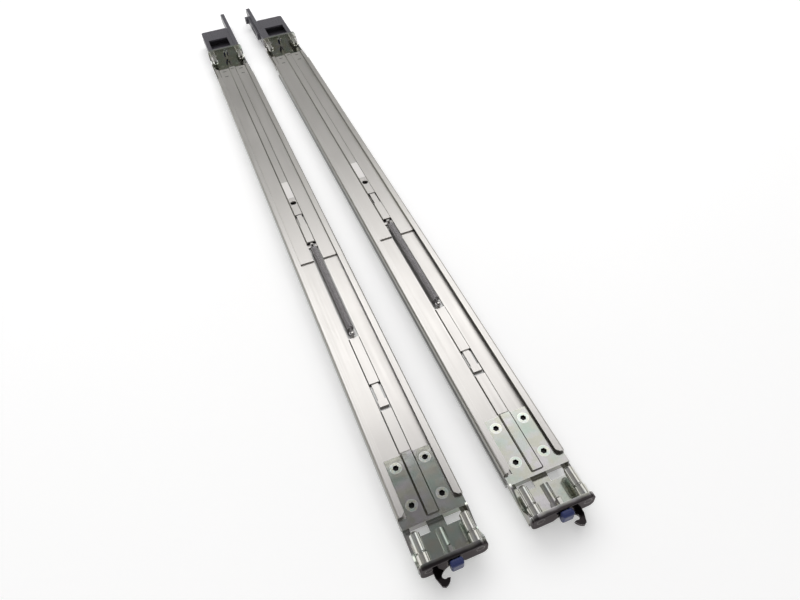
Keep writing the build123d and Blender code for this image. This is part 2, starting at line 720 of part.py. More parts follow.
def slide_outer_member():
    """Outer slide member: web under the channel and two rolled grooves for the outer balls."""
    rim_angle = radians(OUTER_GROOVE_END - GROOVE_OVERLAP)
    side = BALL_1_X + GROOVE_OUTSIDE * cos(rim_angle) + GROOVE_CLEARANCE
    foot = BALL_1_Z + GROOVE_RADIUS
    web = area(-side, side, SLIDE_WEB_BOTTOM, WEB_BOTTOM)
    wall = area(side - MEMBER_SHEET, side, foot, WEB_BOTTOM)
    rolled = groove(BALL_1_X, BALL_1_Z, OUTER_GROOVE_START, OUTER_GROOVE_END)
    body = along(web + pair_of(wall + rolled), SLIDE_FRONT, SLIDE_REAR)
    holes = front_screw_places() + [(0, y) for y in slide_rivet_places()]
    for x, y in holes:
        body -= cylinder_z(x, y, SCREW_SHANK + FIT, SLIDE_WEB_BOTTOM - CUT, WEB_BOTTOM + CUT)
    return body


def slide_rivets():
    """Rivets that join the slide's outer member to the channel, flush where the plate runs."""
    rivets = []
    low = SLIDE_WEB_BOTTOM - RIVET_HEAD_HEIGHT
    head = SCREW_SHANK + RIVET_RIM
    for y in slide_rivet_places():
        shank = cylinder_z(0, y, SCREW_SHANK, low, WEB_TOP)
        lower_head = cylinder_z(0, y, head, low, SLIDE_WEB_BOTTOM)
        upper_head = cylinder_z(0, y, head, WEB_TOP - RIVET_HEAD_HEIGHT, WEB_TOP)
        rivets.append(shank + lower_head + upper_head)
    return rivets


def intermediate_member():
    """Intermediate slide member: S-shaped sides that carry balls inside and outside."""
    reach = BALL_1_X - GROOVE_RADIUS * cos(radians(180 - MIDDLE_GROOVE_START))
    web = area(-reach, reach, INTERMEDIATE_TOP - MEMBER_SHEET, INTERMEDIATE_TOP)
    bend = GROOVE_SPREAD + GROOVE_OVERLAP
    outer_groove = groove(BALL_1_X, BALL_1_Z, MIDDLE_GROOVE_START, 180 + bend)
    inner_groove = groove(BALL_2_X, BALL_2_Z, MIDDLE_GROOVE_END, bend)
    section = web + pair_of(outer_groove + inner_groove)
    return along(section, MEMBER_FRONT, INTERMEDIATE_REAR)


def inner_member():
    """Inner slide member that is hung on the server's studs by its keyhole slots."""
    rim_angle = radians(180 - INNER_GROOVE_START)
    reach = BALL_2_X - GROOVE_RADIUS * cos(rim_angle) - SIDE_CLEARANCE
    web = area(-reach, reach, INNER_BOTTOM, INNER_WEB_TOP)
    rolled = groove(BALL_2_X, BALL_2_Z, INNER_GROOVE_START, INNER_GROOVE_END)
    body = along(web + pair_of(rolled), MEMBER_FRONT, INNER_REAR)
    for y in stud_slot_places():
        body -= stud_slot(y)
    half = THUMB_WINDOW_WIDTH / 2
    front = LOCK_PIVOT_Y - LOCK_ARM
    window = area(-half, half, front, front + THUMB_WINDOW_LENGTH)
    body -= upward(window, INNER_BOTTOM - CUT, INNER_WEB_TOP + CUT)
    bore = LOCK_RIVET_RADIUS + FIT
    return body - cylinder_z(0, LOCK_PIVOT_Y, bore, INNER_BOTTOM - CUT, INNER_WEB_TOP + CUT)


def stud_slot_places():
    """Centres of the keyhole heads along the inner member."""
    return [MEMBER_FRONT + STUD_FRONT_GAP + STUD_PITCH * i for i in range(STUD_COUNT)]


def stud_slot(y):
    """Keyhole: a round head for the stud and a narrow slot towards the front."""
    half = STUD_SLOT_WIDTH / 2
    head = Pos(0, y) * Circle(STUD_HEAD_RADIUS)
    slot = area(-half, half, y - STUD_SLOT_LENGTH, y)
    tip = Pos(0, y - STUD_SLOT_LENGTH) * Circle(half)
    return upward(head + slot + tip, INNER_BOTTOM - CUT, INNER_WEB_TOP + CUT)


def lock_lever():
    """Lever inside the inner member that locks the slide when it is fully out."""
    low = INNER_WEB_TOP + RUN_GAP
    high = low + MEMBER_SHEET
    half = LOCK_HALF_WIDTH
    front = LOCK_PIVOT_Y - LOCK_ARM
    tooth_rear = LOCK_PIVOT_Y - LOCK_TOOTH_REAR
    tooth_front = tooth_rear - LOCK_TOOTH_LENGTH
    plan = Pos(0, LOCK_PIVOT_Y) * Circle(LOCK_EYE_RADIUS)
    plan += area(-half, half, front, LOCK_PIVOT_Y)
    plan += Pos(0, front) * Circle(half)
    plan += polygon([
        (half - FIT, tooth_front),
        (half + LOCK_TOOTH_REACH, tooth_front + LOCK_TOOTH_RAMP),
        (half + LOCK_TOOTH_REACH, tooth_rear),
        (half - FIT, tooth_rear),
    ])
    eye = cylinder_z(0, LOCK_PIVOT_Y, LOCK_RIVET_RADIUS + PIVOT_FIT, low - CUT, high + CUT)
    return upward(plan, low, high) - eye


def lock_lever_rivet():
    """Shouldered rivet on which the lock lever turns."""
    shoulder = INNER_WEB_TOP + MEMBER_SHEET + 2 * RUN_GAP
    shank = cylinder_z(0, LOCK_PIVOT_Y, LOCK_RIVET_RADIUS, INNER_BOTTOM, shoulder)
    radius = LOCK_RIVET_RADIUS + LOCK_RIVET_RIM
    return shank + cylinder_z(0, LOCK_PIVOT_Y, radius, shoulder, shoulder + LOCK_RIVET_HEAD)


def ball_places():
    """Positions of the balls of one row along the rail."""
    return [CAGE_FRONT + CAGE_END + BALL_PITCH * i for i in range(BALLS_PER_ROW)]


def ball_rows(x, z):
    """Two rows of balls, one each side of the slide."""
    return [Pos(side * x, y, z) * Sphere(BALL_RADIUS) for side in (-1, 1) for y in ball_places()]


def ball_cage(x, z, spine_way):
    """Comb strips, one each side, whose open pockets space the balls."""
    pocket = GROOVE_RADIUS
    cage_rear = ball_places()[-1] + CAGE_END
    back = z + spine_way * (pocket + CAGE_SPINE)
    tip = z - spine_way * (BALL_RADIUS - SIDE_CLEARANCE)
    open_end = z - spine_way * 2 * BALL_RADIUS
    half = CAGE_THICKNESS / 2
    strips = []
    for centre in (-x, x):
        strip = block(centre - half, centre + half, CAGE_FRONT, cage_rear, back, tip)
        for y in ball_places():
            strip -= block(centre - CUT, centre + CUT, y - pocket, y + pocket, z, open_end)
            strip -= cylinder_x(y, z, pocket, centre - CUT, centre + CUT)
        strips.append(strip)
    return strips


def rear_plate():
    """Telescoping plate: fluted sheet whose raised edges run under the channel's lips."""
    edge = WALL_INSIDE - PLATE_EDGE_GAP
    rib_foot = RIB_HALF_WIDTH - SIDE_CLEARANCE
    top = both_sides([
        (rib_foot - REAR_RIB_SLOPE, PLATE_CREST),
        (rib_foot, PLATE_FLAT),
        (FLANGE_EDGE - FLANGE_SLOPE, PLATE_FLAT),
        (FLANGE_EDGE, PLATE_CREST),
        (edge, PLATE_CREST),
    ])
    body = along(formed_sheet(top, SHEET), JOINT_Y, REAR_PLATE_END)
    half = SPRING_SLOT_HALF
    body -= block(-half, half, JOINT_Y - CUT, SPRING_SLOT_REAR, WEB_BOTTOM, LIP_TOP)
    body += rear_spring_anchor()
    body -= lanced_cut()
    body -= cylinder_z(0, SIGHT_HOLE_Y, SIGHT_HOLE_RADIUS, WEB_BOTTOM, LIP_TOP)
    for x, y in stake_places():
        slot = SlotOverall(STAKE_LENGTH + STAKE_GAP, STAKE_WIDTH + STAKE_GAP)
        body -= upward(Pos(x, y) * slot, WEB_BOTTOM, LIP_TOP)
    return body


def rear_spring_anchor():
    """The rear plate's finger for the spring's rear loop, on a tongue stepped down from the rib."""
    half = FINGER_HALF_WIDTH
    low = PLATE_FLAT - SHEET
    front = SPRING_REAR - SHEET
    rear = SPRING_SLOT_REAR + SHEET
    tongue = block(-half, half, front, rear, low, PLATE_FLAT)
    riser = block(-half, half, SPRING_SLOT_REAR, rear, low, PLATE_CREST)
    return tongue + riser + spring_finger(front, low)


def lanced_cut():
    """U-shaped lanced cut in the rear plate's rib."""
    front = LANCE_REAR - LANCE_LENGTH
    half = LANCE_HALF_WIDTH
    bar = block(-half, half, LANCE_REAR - LANCE_LINE, LANCE_REAR, WEB_BOTTOM, LIP_TOP)
    return bar + pair_of(block(half - LANCE_LINE, half, front, LANCE_REAR, WEB_BOTTOM, LIP_TOP))


def stake_places():
    """Staked tabs that hold the rear plate on the rear bracket's tongue."""
    rows = [REAR_PLATE_END - distance for distance in STAKE_ROWS]
    middle = [(0, REAR_PLATE_END - STAKE_MIDDLE)]
    return middle + [(side * STAKE_X, y) for y in rows for side in (-1, 1)]


def rear_bracket():
    """Zinc-plated rear bracket: tongue, side walls, tray and upright flange."""
    wide = BRACKET_HALF
    tongue_half = TONGUE_HALF_WIDTH
    tongue_top = WEB_TOP + RUN_GAP
    tongue_bottom = tongue_top - SHEET
    step = REAR_STEP
    step_front = step - SHEET
    body = block(-tongue_half, tongue_half, TONGUE_START, step, tongue_bottom, tongue_top)
    for x, y in stake_places():
        height = PLATE_CREST if x == 0 else PLATE_FLAT
        tab = SlotOverall(STAKE_LENGTH, STAKE_WIDTH)
        body += upward(Pos(x, y) * tab, tongue_bottom, height)
    body += block(-tongue_half, tongue_half, step_front, step, FLOOR_BOTTOM, tongue_top)
    body += block(-wide, wide, step_front, REAR_FACE + SHEET / 2, FLOOR_BOTTOM, FLOOR_TOP)
    level = tongue_top - SHEET / 2
    tray = REAR_FACE - step
    upper_edge = [(TONGUE_START, level), (step, level)]
    upper_edge += [(step + share * tray, level + rise) for share, rise in REAR_WALL]
    upper_edge += [(REAR_FACE, REAR_WALL_TOP)]
    body += pair_of(side_wall(upper_edge, wide - SHEET, wide))
    shelf_inside = tongue_half - FIT
    shelf = block(shelf_inside, wide - FIT, TONGUE_START, step, FLOOR_BOTTOM, FLOOR_TOP)
    riser_inside = tongue_half - SHEET
    riser = block(riser_inside, tongue_half, TONGUE_START, step, FLOOR_BOTTOM, tongue_top)
    body += pair_of(shelf + riser)
    body += rear_flange()
    for x, y in cable_screw_places():
        body -= cylinder_z(x, y, SCREW_SHANK + FIT, FLOOR_BOTTOM - CUT, FLOOR_TOP + CUT)
    return body


def rear_flange():
    """Upright flange that lies on the rear rack post, with its latch slot and pressed oval."""
    middle_z = (REAR_FLANGE_TOP + FLOOR_BOTTOM) / 2
    height = REAR_FLANGE_TOP - FLOOR_BOTTOM
    outline = RectangleRounded(2 * BRACKET_HALF, height, REAR_FLANGE_CORNER)
    flange = along(Pos(0, middle_z) * outline, REAR_FACE, REAR_BACK)
    flange -= spigot_bores(REAR_FACE, REAR_BACK)
    flange -= latch_cuts(REAR_BACK, REAR_FACE)
    oval = Pos(0, PIN_Z) * SlotOverall(REAR_OVAL_LENGTH, REAR_OVAL_WIDTH, rotation=90)
    return flange - along(oval, REAR_FACE - CUT, REAR_FACE + REAR_OVAL_DEPTH)


def cable_screw_places():
    """Screws that hold the cable arm bracket under the rear tray."""
    return [(-CABLE_SCREW_X, CABLE_SCREW_Y), (CABLE_SCREW_X, CABLE_SCREW_Y)]


def cable_arm_bracket():
    """Moulded bracket behind the rear flange that carries the cable arm."""
    wall = CABLE_WALL
    left = CABLE_LEFT
    right = CABLE_RIGHT
    front = CABLE_BOX_START
    rear = CABLE_BOX_END
    ceiling = CABLE_TOP - wall
    foot = block(left, right, CABLE_FOOT_START, rear, CABLE_FLOOR, FLOOR_BOTTOM)
    shell = block(left, right, front, rear, CABLE_FLOOR, CABLE_TOP)
    shell = fillet(shell.edges().filter_by(Axis.Z), CABLE_CORNER)
    room = block(left + wall, right - wall, front + wall, rear - wall, FLOOR_BOTTOM, ceiling)
    body = foot + shell - room
    window_front = front + CABLE_WINDOW_FROM_FRONT
    window_rear = window_front + CABLE_WINDOW_LENGTH
    window = area(left + CABLE_RIM, right - CABLE_RIM, window_front, window_rear)
    body -= upward(window, ceiling - CUT, CABLE_TOP + CUT)
    partition = front + CABLE_PARTITION_FROM_FRONT
    body += block(left + wall, right - wall, partition, partition + wall, FLOOR_BOTTOM, ceiling)
    for x, y in cable_screw_places():
        body -= cylinder_z(x, y, SCREW_SHANK + FIT, CABLE_FLOOR - CUT, FLOOR_BOTTOM + CUT)
    return body


def cable_arm_screws():
    """Two screws from below into the rear tray."""
    screws = []
    head_low = CABLE_FLOOR - CABLE_SCREW_HEAD_HEIGHT
    for x, y in cable_screw_places():
        shank = cylinder_z(x, y, SCREW_SHANK, CABLE_FLOOR, FLOOR_TOP)
        head = cylinder_z(x, y, SCREW_HEAD, head_low, CABLE_FLOOR)
        hexagon = Pos(x, y) * RegularPolygon(SOCKET_RADIUS, 6)
        screws.append(shank + head - upward(hexagon, head_low - FIT, head_low + CABLE_SOCKET_DEPTH))
    return screws


def cable_arm_hook(lobed):
    """Finger beside the bracket for the cable arm's clip; one side also has a lobed catch."""
    low = CABLE_FLOOR
    nose = (HOOK_TOP - low) / 2
    nose_y = CABLE_ARM_END - nose
    outside = CABLE_RIGHT + HOOK_WIDTH
    outline = area(REAR_BACK + CUT, nose_y, low, HOOK_TOP)
    outline += Pos(nose_y, low + nose) * Circle(nose)
    outline -= Pos(nose_y, low + nose) * Circle(HOOK_EYE_RADIUS)
    body = across(outline, CABLE_RIGHT, outside)
    if lobed:
        lobe_z = low + LOBE_HEIGHT / 2
        plate = Pos(LOBE_Y, lobe_z) * SlotOverall(LOBE_LENGTH, LOBE_HEIGHT)
        slot = Pos(LOBE_Y - LOBE_SLOT_SHIFT, lobe_z) * SlotOverall(LOBE_SLOT_LENGTH, LOBE_SLOT_WIDTH)
        body += across(plate - slot, outside, outside + LOBE_THICKNESS)
        knob = Pos(LOBE_Y + KNOB_SHIFT, lobe_z) * Circle(LOBE_HEIGHT / 2)
        body += across(knob, outside - FIT, outside + KNOB_LENGTH)
    return body


def tension_spring():
    """Spring that draws the rear section forward: closed coil with a loop at each end."""
    wire = SPRING_WIRE / 2
    bore = SPRING_RADIUS - SPRING_WIRE
    body = cylinder_y(0, SPRING_AXIS_Z, SPRING_RADIUS, COIL_FRONT, COIL_REAR)
    body -= cylinder_y(0, SPRING_AXIS_Z, bore, COIL_FRONT - CUT, COIL_REAR + CUT)
    reach = sqrt((SPRING_LOOP - wire) ** 2 - FINGER_HALF_WIDTH**2) - PIVOT_FIT
    front_loop = SPRING_FRONT + reach
    rear_loop = SPRING_REAR - reach
    ends = (
        (front_loop, front_loop + SPRING_LOOP, COIL_FRONT + wire),
        (rear_loop, rear_loop - SPRING_LOOP, COIL_REAR - wire),
    )
    for centre, shank, coil_end in ends:
        body += Pos(0, centre, SPRING_AXIS_Z) * Torus(SPRING_LOOP, wire)
        body += cylinder_y(0, SPRING_AXIS_Z, wire, *sorted((shank, coil_end)))
        body += cylinder_x(coil_end, SPRING_AXIS_Z, wire, 0, SPRING_RADIUS - wire)
    return body


def rail_nodes(lobed):
    """Every piece of one rail, by name."""
    return {
        "outer_channel": outer_channel(),
        "front_bracket": front_bracket(),
        "front_pins": front_pins(),
        "front_screws": front_screws(),
        "chassis_catch": chassis_catch(),
        "front_latch_pin": latch_pin(BAR_FRONT, BAR_REAR),
        "front_latch_lever": latch_lever(BAR_FRONT, BAR_REAR),
        "front_button": latch_button(BAR_FRONT, BAR_REAR),
        "slide_outer_member": slide_outer_member(),
        "slide_rivets": slide_rivets(),
        "outer_ball_cage": ball_cage(BALL_1_X, BALL_1_Z, 1),
        "outer_balls": ball_rows(BALL_1_X, BALL_1_Z),
        "intermediate_member": intermediate_member(),
        "inner_ball_cage": ball_cage(BALL_2_X, BALL_2_Z, -1),
        "inner_balls": ball_rows(BALL_2_X, BALL_2_Z),
        "inner_member": inner_member(),
        "lock_lever": lock_lever(),
        "lock_lever_rivet": lock_lever_rivet(),
        "rear_plate": rear_plate(),
        "rear_bracket": rear_bracket(),
        "rear_pins": rear_pins(),
        "rear_latch_pin": latch_pin(REAR_BACK, REAR_FACE),
        "rear_latch_lever": latch_lever(REAR_BACK, REAR_FACE),
        "rear_button": latch_button(REAR_BACK, REAR_FACE),
        "cable_arm_bracket": cable_arm_bracket(),
        "cable_arm_screws": cable_arm_screws(),
        "cable_arm_hook": cable_arm_hook(lobed),
        "tension_spring": tension_spring(),
    }


def as_compound(shape):
    """One compound from a piece or from a list of like pieces."""
    pieces = shape if isinstance(shape, list) else [shape]
    solids = [solid for piece in pieces for solid in piece.solids()]
    return Compound(solids) if len(solids) > 1 else solids[0]


def place_pair():
    """Both rails side by side, with the origin at the bottom centre of the whole pair."""
    nodes = {}
    for name, shape in rail_nodes(lobed=False).items():
        nodes["left_" + name] = Pos(-PAIR_SPACING / 2, 0, 0) * as_compound(shape)
    for name, shape in rail_nodes(lobed=True).items():
        turned = mirror(as_compound(shape), about=Plane.YZ)
        nodes["right_" + name] = Pos(PAIR_SPACING / 2, 0, 0) * turned
    box = Compound(list(nodes.values())).bounding_box()
    shift = Vector(-box.center().X, -box.center().Y, -box.min.Z)
    return {name: shape.moved(Location(shift)) for name, shape in nodes.items()}, shift


def main():
    os.makedirs("parts", exist_ok=True)
    nodes, shift = place_pair()
    for name, shape in nodes.items():
        export_step(shape, f"parts/{name}.step")
    print("nodes", len(nodes), "origin shift", [round(value, 4) for value in shift])


main()
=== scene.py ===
# %% [markdown]
# # A pair of sliding server rails
# The object is a mirrored pair of steel rails for a server rack. Each one is a rolled channel with
# a ball-bearing slide under it, a shiny zinc-plated bracket at both ends, and a dark coil spring in
# the middle. The solids come from a CAD model; this lesson gives them light, finish and the few
# parts that a solid modeller draws plainly, such as the wound spring.

# %% Load the solids
import math

import bmesh
import bpy
from mathutils import Matrix, Vector


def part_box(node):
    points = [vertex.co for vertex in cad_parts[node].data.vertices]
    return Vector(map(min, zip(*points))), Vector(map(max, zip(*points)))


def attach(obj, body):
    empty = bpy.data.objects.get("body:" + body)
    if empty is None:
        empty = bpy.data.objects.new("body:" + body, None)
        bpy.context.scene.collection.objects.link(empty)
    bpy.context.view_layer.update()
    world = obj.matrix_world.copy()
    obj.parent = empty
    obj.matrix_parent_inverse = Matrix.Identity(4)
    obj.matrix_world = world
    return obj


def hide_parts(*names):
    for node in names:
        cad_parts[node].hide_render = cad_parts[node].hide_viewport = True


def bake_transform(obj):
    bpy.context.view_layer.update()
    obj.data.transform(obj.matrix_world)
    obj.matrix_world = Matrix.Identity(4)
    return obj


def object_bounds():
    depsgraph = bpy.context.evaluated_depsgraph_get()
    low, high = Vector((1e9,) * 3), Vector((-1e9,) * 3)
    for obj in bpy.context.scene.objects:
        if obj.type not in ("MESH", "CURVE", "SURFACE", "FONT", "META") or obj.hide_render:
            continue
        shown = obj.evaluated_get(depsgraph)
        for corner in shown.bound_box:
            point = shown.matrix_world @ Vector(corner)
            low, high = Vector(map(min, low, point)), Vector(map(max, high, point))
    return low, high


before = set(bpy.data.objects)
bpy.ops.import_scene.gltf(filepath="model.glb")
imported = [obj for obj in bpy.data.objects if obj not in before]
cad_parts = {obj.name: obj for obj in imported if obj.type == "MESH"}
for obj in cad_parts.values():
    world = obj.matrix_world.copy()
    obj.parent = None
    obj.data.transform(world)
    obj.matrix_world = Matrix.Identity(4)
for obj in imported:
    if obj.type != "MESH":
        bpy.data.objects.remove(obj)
cad_low, cad_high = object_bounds()
MM = 0.001
SIDES = ("left", "right")
print("solids", len(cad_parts), "size in mm", [round(v / MM, 1) for v in cad_high - cad_low])

# %% [markdown]
# ## Camera
# The photograph looks down on the rails from above their front ends, a little from the left. A
# camera can be aimed with Euler angles or with a constraint; here its axes are built from three
# plain angles: how far it turns, how far it tips down and how far it leans. That keeps each angle
# readable. The Standard view transform shows each colour as it is written, with no film curve.

# %% Place the camera
CAMERA_PLACE = Vector((-0.09005, -0.50274, 0.37449))
CAMERA_TURN = math.radians(18.009)
CAMERA_TIP = math.radians(47.918)
CAMERA_LEAN = math.radians(-5.093)
CAMERA_LENS = 27.78
CAMERA_NEAR = 10 * MM


def link_object(name, data):
    """A new object in the scene."""
    made = bpy.data.objects.new(name, data)
    bpy.context.scene.collection.objects.link(made)
    return made


def camera_axes(turn, tip, lean):
    """The camera's right, up and backward directions."""
    forward = Vector((
        math.sin(turn) * math.cos(tip),
        math.cos(turn) * math.cos(tip),
        -math.sin(tip),
    ))
    level = Vector((math.cos(turn), -math.sin(turn), 0))
    upright = level.cross(forward)
    right = math.cos(lean) * level + math.sin(lean) * upright
    up = math.cos(lean) * upright - math.sin(lean) * level
    return right, up, -forward


camera_data = bpy.data.cameras.new("photo_camera")
camera_data.lens = CAMERA_LENS
camera_data.clip_start = CAMERA_NEAR
camera = link_object("photo_camera", camera_data)
aim = Matrix(camera_axes(CAMERA_TURN, CAMERA_TIP, CAMERA_LEAN)).transposed().to_4x4()
camera.matrix_world = Matrix.Translation(CAMERA_PLACE) @ aim
bpy.context.scene.camera = camera
bpy.context.scene.view_settings.view_transform = "Standard"
print("camera at", [round(v, 3) for v in CAMERA_PLACE])

# %% [markdown]
# ## Floor and light
# Bare metal shows little colour of its own: what we see is the room. So the room is designed first.
# The floor is plain, pale and matt. A curved paper sweep would hide the horizon too, but one large
# square does the same once its far part glows.

# %% Lay the floor
FLOOR_SIZE = 30.0
FLOOR_GAP = 0.02 * MM
FLOOR_COLOUR = (0.93, 0.93, 0.93, 1)
FLOOR_ROUGHNESS = 0.9
FLOOR_SPECULAR = 0.1


def mesh_object(name, build):
    """A mesh object from a function that fills a bmesh."""
    work = bmesh.new()
    build(work)
    data = bpy.data.meshes.new(name)
    work.to_mesh(data)
    work.free()
    return link_object(name, data)


def new_material(name):
    """A node material and its Principled shader."""
    material = bpy.data.materials.new(name)
    material.use_nodes = True
    return material, material.node_tree.nodes["Principled BSDF"]


def build_floor(work):
    """One large square, just below the rails."""
    bmesh.ops.create_grid(work, x_segments=1, y_segments=1, size=FLOOR_SIZE / 2)
    bmesh.ops.translate(work, verts=work.verts, vec=(0, 0, cad_low.z - FLOOR_GAP))


floor = mesh_object("floor", build_floor)
floor_paint, floor_shader = new_material("pale_floor")
floor_shader.inputs["Base Color"].default_value = FLOOR_COLOUR
floor_shader.inputs["Roughness"].default_value = FLOOR_ROUGHNESS
floor_shader.inputs["Specular IOR Level"].default_value = FLOOR_SPECULAR
floor.data.materials.append(floor_paint)
print("floor at", round(cad_low.z, 5))

# %% [markdown]
# Materials and the sky are made of nodes, and a few steps come back in all of them: feed an input,
# do a sum, turn a range of values into a mask, take one axis of a coordinate. Typing the nodes out
# each time would hide what a finish is made of, so each of these steps gets a small helper.

# %% Tools for nodes


def plain(value):
    """A number as it is; a colour of red, green and blue gets its alpha."""
    return (*value, 1) if isinstance(value, tuple) else value


def feed(tree, value, socket):
    """Links an output to an input, or sets the input to a number or a colour."""
    if isinstance(value, bpy.types.NodeSocket):
        tree.links.new(value, socket)
    else:
        socket.default_value = plain(value)


def add_math(tree, operation, *values):
    """A Math node; returns its output."""
    node = tree.nodes.new("ShaderNodeMath")
    node.operation = operation
    for value, socket in zip(values, node.inputs):
        feed(tree, value, socket)
    return node.outputs[0]


def add_ramp(tree, value, low, high, at_low=0.0, at_high=1.0):
    """A Map Range node: an even rise between two values, level outside them."""
    node = tree.nodes.new("ShaderNodeMapRange")
    node.inputs["From Min"].default_value = low
    node.inputs["From Max"].default_value = high
    node.inputs["To Min"].default_value = at_low
    node.inputs["To Max"].default_value = at_high
    tree.links.new(value, node.inputs["Value"])
    return node.outputs["Result"]


def axis_of(tree, coordinates, axis):
    """One axis of a texture coordinate, such as Object or Normal."""
    place = tree.nodes.new("ShaderNodeTexCoord")
    parts = tree.nodes.new("ShaderNodeSeparateXYZ")
    tree.links.new(place.outputs[coordinates], parts.inputs[0])
    return parts.outputs[axis]


print("node tools", [tool.__name__ for tool in (feed, add_math, add_ramp, axis_of)])

# %% [markdown]
# The floor should read as white paper behind the rails. Brighter lamps would bleach the metal, so
# the floor gets a little glow of its own, seen only by the camera and by mirror-like surfaces. It
# lifts the floor to white and leaves the shadows in place. The lamps reach only a metre or two, so
# the glow grows further out and the paper stays white to the horizon.

# %% Lift the floor to white
FLOOR_GLOW = 0.25
FAR_GLOW = 0.70
NEAR_EDGE = 0.8
FAR_EDGE = 2.6


def seen_or_mirrored(tree):
    """1 for camera rays, for reflections and through glass, else 0."""
    path = tree.nodes.new("ShaderNodeLightPath")
    level = path.outputs["Is Camera Ray"]
    for ray in ("Is Glossy Ray", "Is Transmission Ray"):
        level = add_math(tree, "MAXIMUM", level, path.outputs[ray])
    return level


def glow_outwards(tree, shader):
    """A white glow that grows with the distance from the rails."""
    place = tree.nodes.new("ShaderNodeTexCoord")
    reach = tree.nodes.new("ShaderNodeVectorMath")
    reach.operation = "LENGTH"
    tree.links.new(place.outputs["Object"], reach.inputs[0])
    glow = add_ramp(tree, reach.outputs["Value"], NEAR_EDGE, FAR_EDGE, FLOOR_GLOW, FAR_GLOW)
    seen = add_math(tree, "MULTIPLY", seen_or_mirrored(tree), glow)
    tree.links.new(seen, shader.inputs["Emission Strength"])
    shader.inputs["Emission Color"].default_value = (1, 1, 1, 1)


glow_outwards(floor_paint.node_tree, floor_shader)
print("floor glow from", FLOOR_GLOW, "to", FAR_GLOW)

# %% [markdown]
# The sky is backdrop and mirror image at once. It could be a photograph of a studio, but a colour
# ramp over the height of each ray is enough here and can be tuned stop by stop: 0 is straight down,
# 0.5 the horizon and 1 straight up. It is white paper at the horizon. Above that lie the greys that
# the metal mirrors, a lighter one for the rails' far ends and the darkest overhead for the plating
# in front.

# %% Paint the sky
SKY_STOPS = (
    (0.0, (0.95, 0.95, 0.95)),
    (0.585, (0.95, 0.95, 0.95)),
    (0.64, (0.24, 0.24, 0.23)),
    (0.76, (0.335, 0.335, 0.325)),
    (0.90, (0.28, 0.275, 0.28)),
    (1.0, (0.18, 0.175, 0.18)),
)


def paint_sky(name, stops):
    """A world whose colour depends on the height of each ray."""
    world = bpy.data.worlds.new(name)
    world.use_nodes = True
    tree = world.node_tree
    ramp = tree.nodes.new("ShaderNodeValToRGB")
    elements = ramp.color_ramp.elements
    elements.remove(elements[1])
    lowest, colour = stops[0]
    elements[0].position = lowest
    elements[0].color = plain(colour)
    for place, colour in stops[1:]:
        elements.new(place).color = plain(colour)
    upward = add_ramp(tree, axis_of(tree, "Generated", "Z"), -1, 1)
    tree.links.new(upward, ramp.inputs["Fac"])
    tree.links.new(ramp.outputs["Color"], tree.nodes["Background"].inputs["Color"])
    return world


bpy.context.scene.world = paint_sky("studio_sky", SKY_STOPS)
print("sky stops", len(SKY_STOPS))

# %% [markdown]
# A mirror sends the eye to one spot of the ceiling, and that spot can be worked out: from above the
# rails' front ends, the middle of the webs reflects the ceiling about a metre behind them. A wide
# panel hangs there, so the webs turn bright, while the front brackets reflect the dark ceiling in
# front of it. A smaller panel reaches further forward on the right, where the photograph shows the
# right rail's bracket lighter. Most of the light for the floor and the plastics comes from a large
# key lamp that mirrors don't see, so it brightens matt things without washing out the metal.

# %% Hang the lamps
LAMPS = {
    "ceiling_panel": {"place": (0.30, 0.77, 1.2), "size": (1.8, 0.92), "radiance": 1.60},
    "right_panel": {"place": (0.85, 0.14, 1.2), "size": (1.1, 0.34), "radiance": 0.80},
    "matt_key": {"place": (-0.3, -0.3, 1.9), "size": (2.4, 2.4), "radiance": 0.9},
}


def hang_lamp(name, place, size, radiance):
    """A level rectangular lamp of a given brightness; only panels show in mirrors."""
    data = bpy.data.lights.new(name, "AREA")
    data.shape = "RECTANGLE"
    data.size, data.size_y = size
    data.energy = radiance * math.pi * size[0] * size[1]
    lamp = link_object(name, data)
    lamp.location = place
    lamp.visible_glossy = "panel" in name
    return lamp


for lamp_name, facts in LAMPS.items():
    lamp = hang_lamp(lamp_name, **facts)
    print(lamp_name, round(lamp.data.energy, 1), "W")

# %% [markdown]
# ## Finishes
# The metals share their streaks, the mouldings and the paper share their grain, and worn edges show
# on nearly all of them. Such an effect could be copied into every material. A node group with named
# inputs is built once instead, and each material places it with its own values.

# %% Tools for node groups
SOCKET_KINDS = {"value": "NodeSocketFloat", "colour": "NodeSocketColor"}


def new_group(name, inputs, outputs):
    """An empty shader node group, its input node and its output node."""
    group = bpy.data.node_groups.new(name, "ShaderNodeTree")
    for socket_name, kind, value in inputs:
        socket = group.interface.new_socket(
            socket_name, in_out="INPUT", socket_type=SOCKET_KINDS[kind]
        )
        socket.default_value = plain(value)
    for socket_name, kind in outputs:
        group.interface.new_socket(socket_name, in_out="OUTPUT", socket_type=SOCKET_KINDS[kind])
    return group, group.nodes.new("NodeGroupInput"), group.nodes.new("NodeGroupOutput")


def place_group(tree, group, values):
    """A group's node in a material, with the material's own values on its inputs."""
    node = tree.nodes.new("ShaderNodeGroup")
    node.node_tree = group
    node.name = group.name
    for name, value in values.items():
        node.inputs[name].default_value = plain(value)
    return node


def add_noise(tree, scale, detail=2.0, vector=None):
    """A Noise Texture, fixed to the object unless another vector is given."""
    noise = tree.nodes.new("ShaderNodeTexNoise")
    feed(tree, scale, noise.inputs["Scale"])
    feed(tree, detail, noise.inputs["Detail"])
    if vector is None:
        vector = tree.nodes.new("ShaderNodeTexCoord").outputs["Object"]
    tree.links.new(vector, noise.inputs["Vector"])
    return noise.outputs["Fac"]


def add_mix(tree, factor, first, second):
    """A blend of two colours."""
    node = tree.nodes.new("ShaderNodeMix")
    node.data_type = "RGBA"
    for value, name in ((factor, "Factor"), (first, "A"), (second, "B")):
        feed(tree, value, node.inputs[name])
    return node.outputs["Result"]


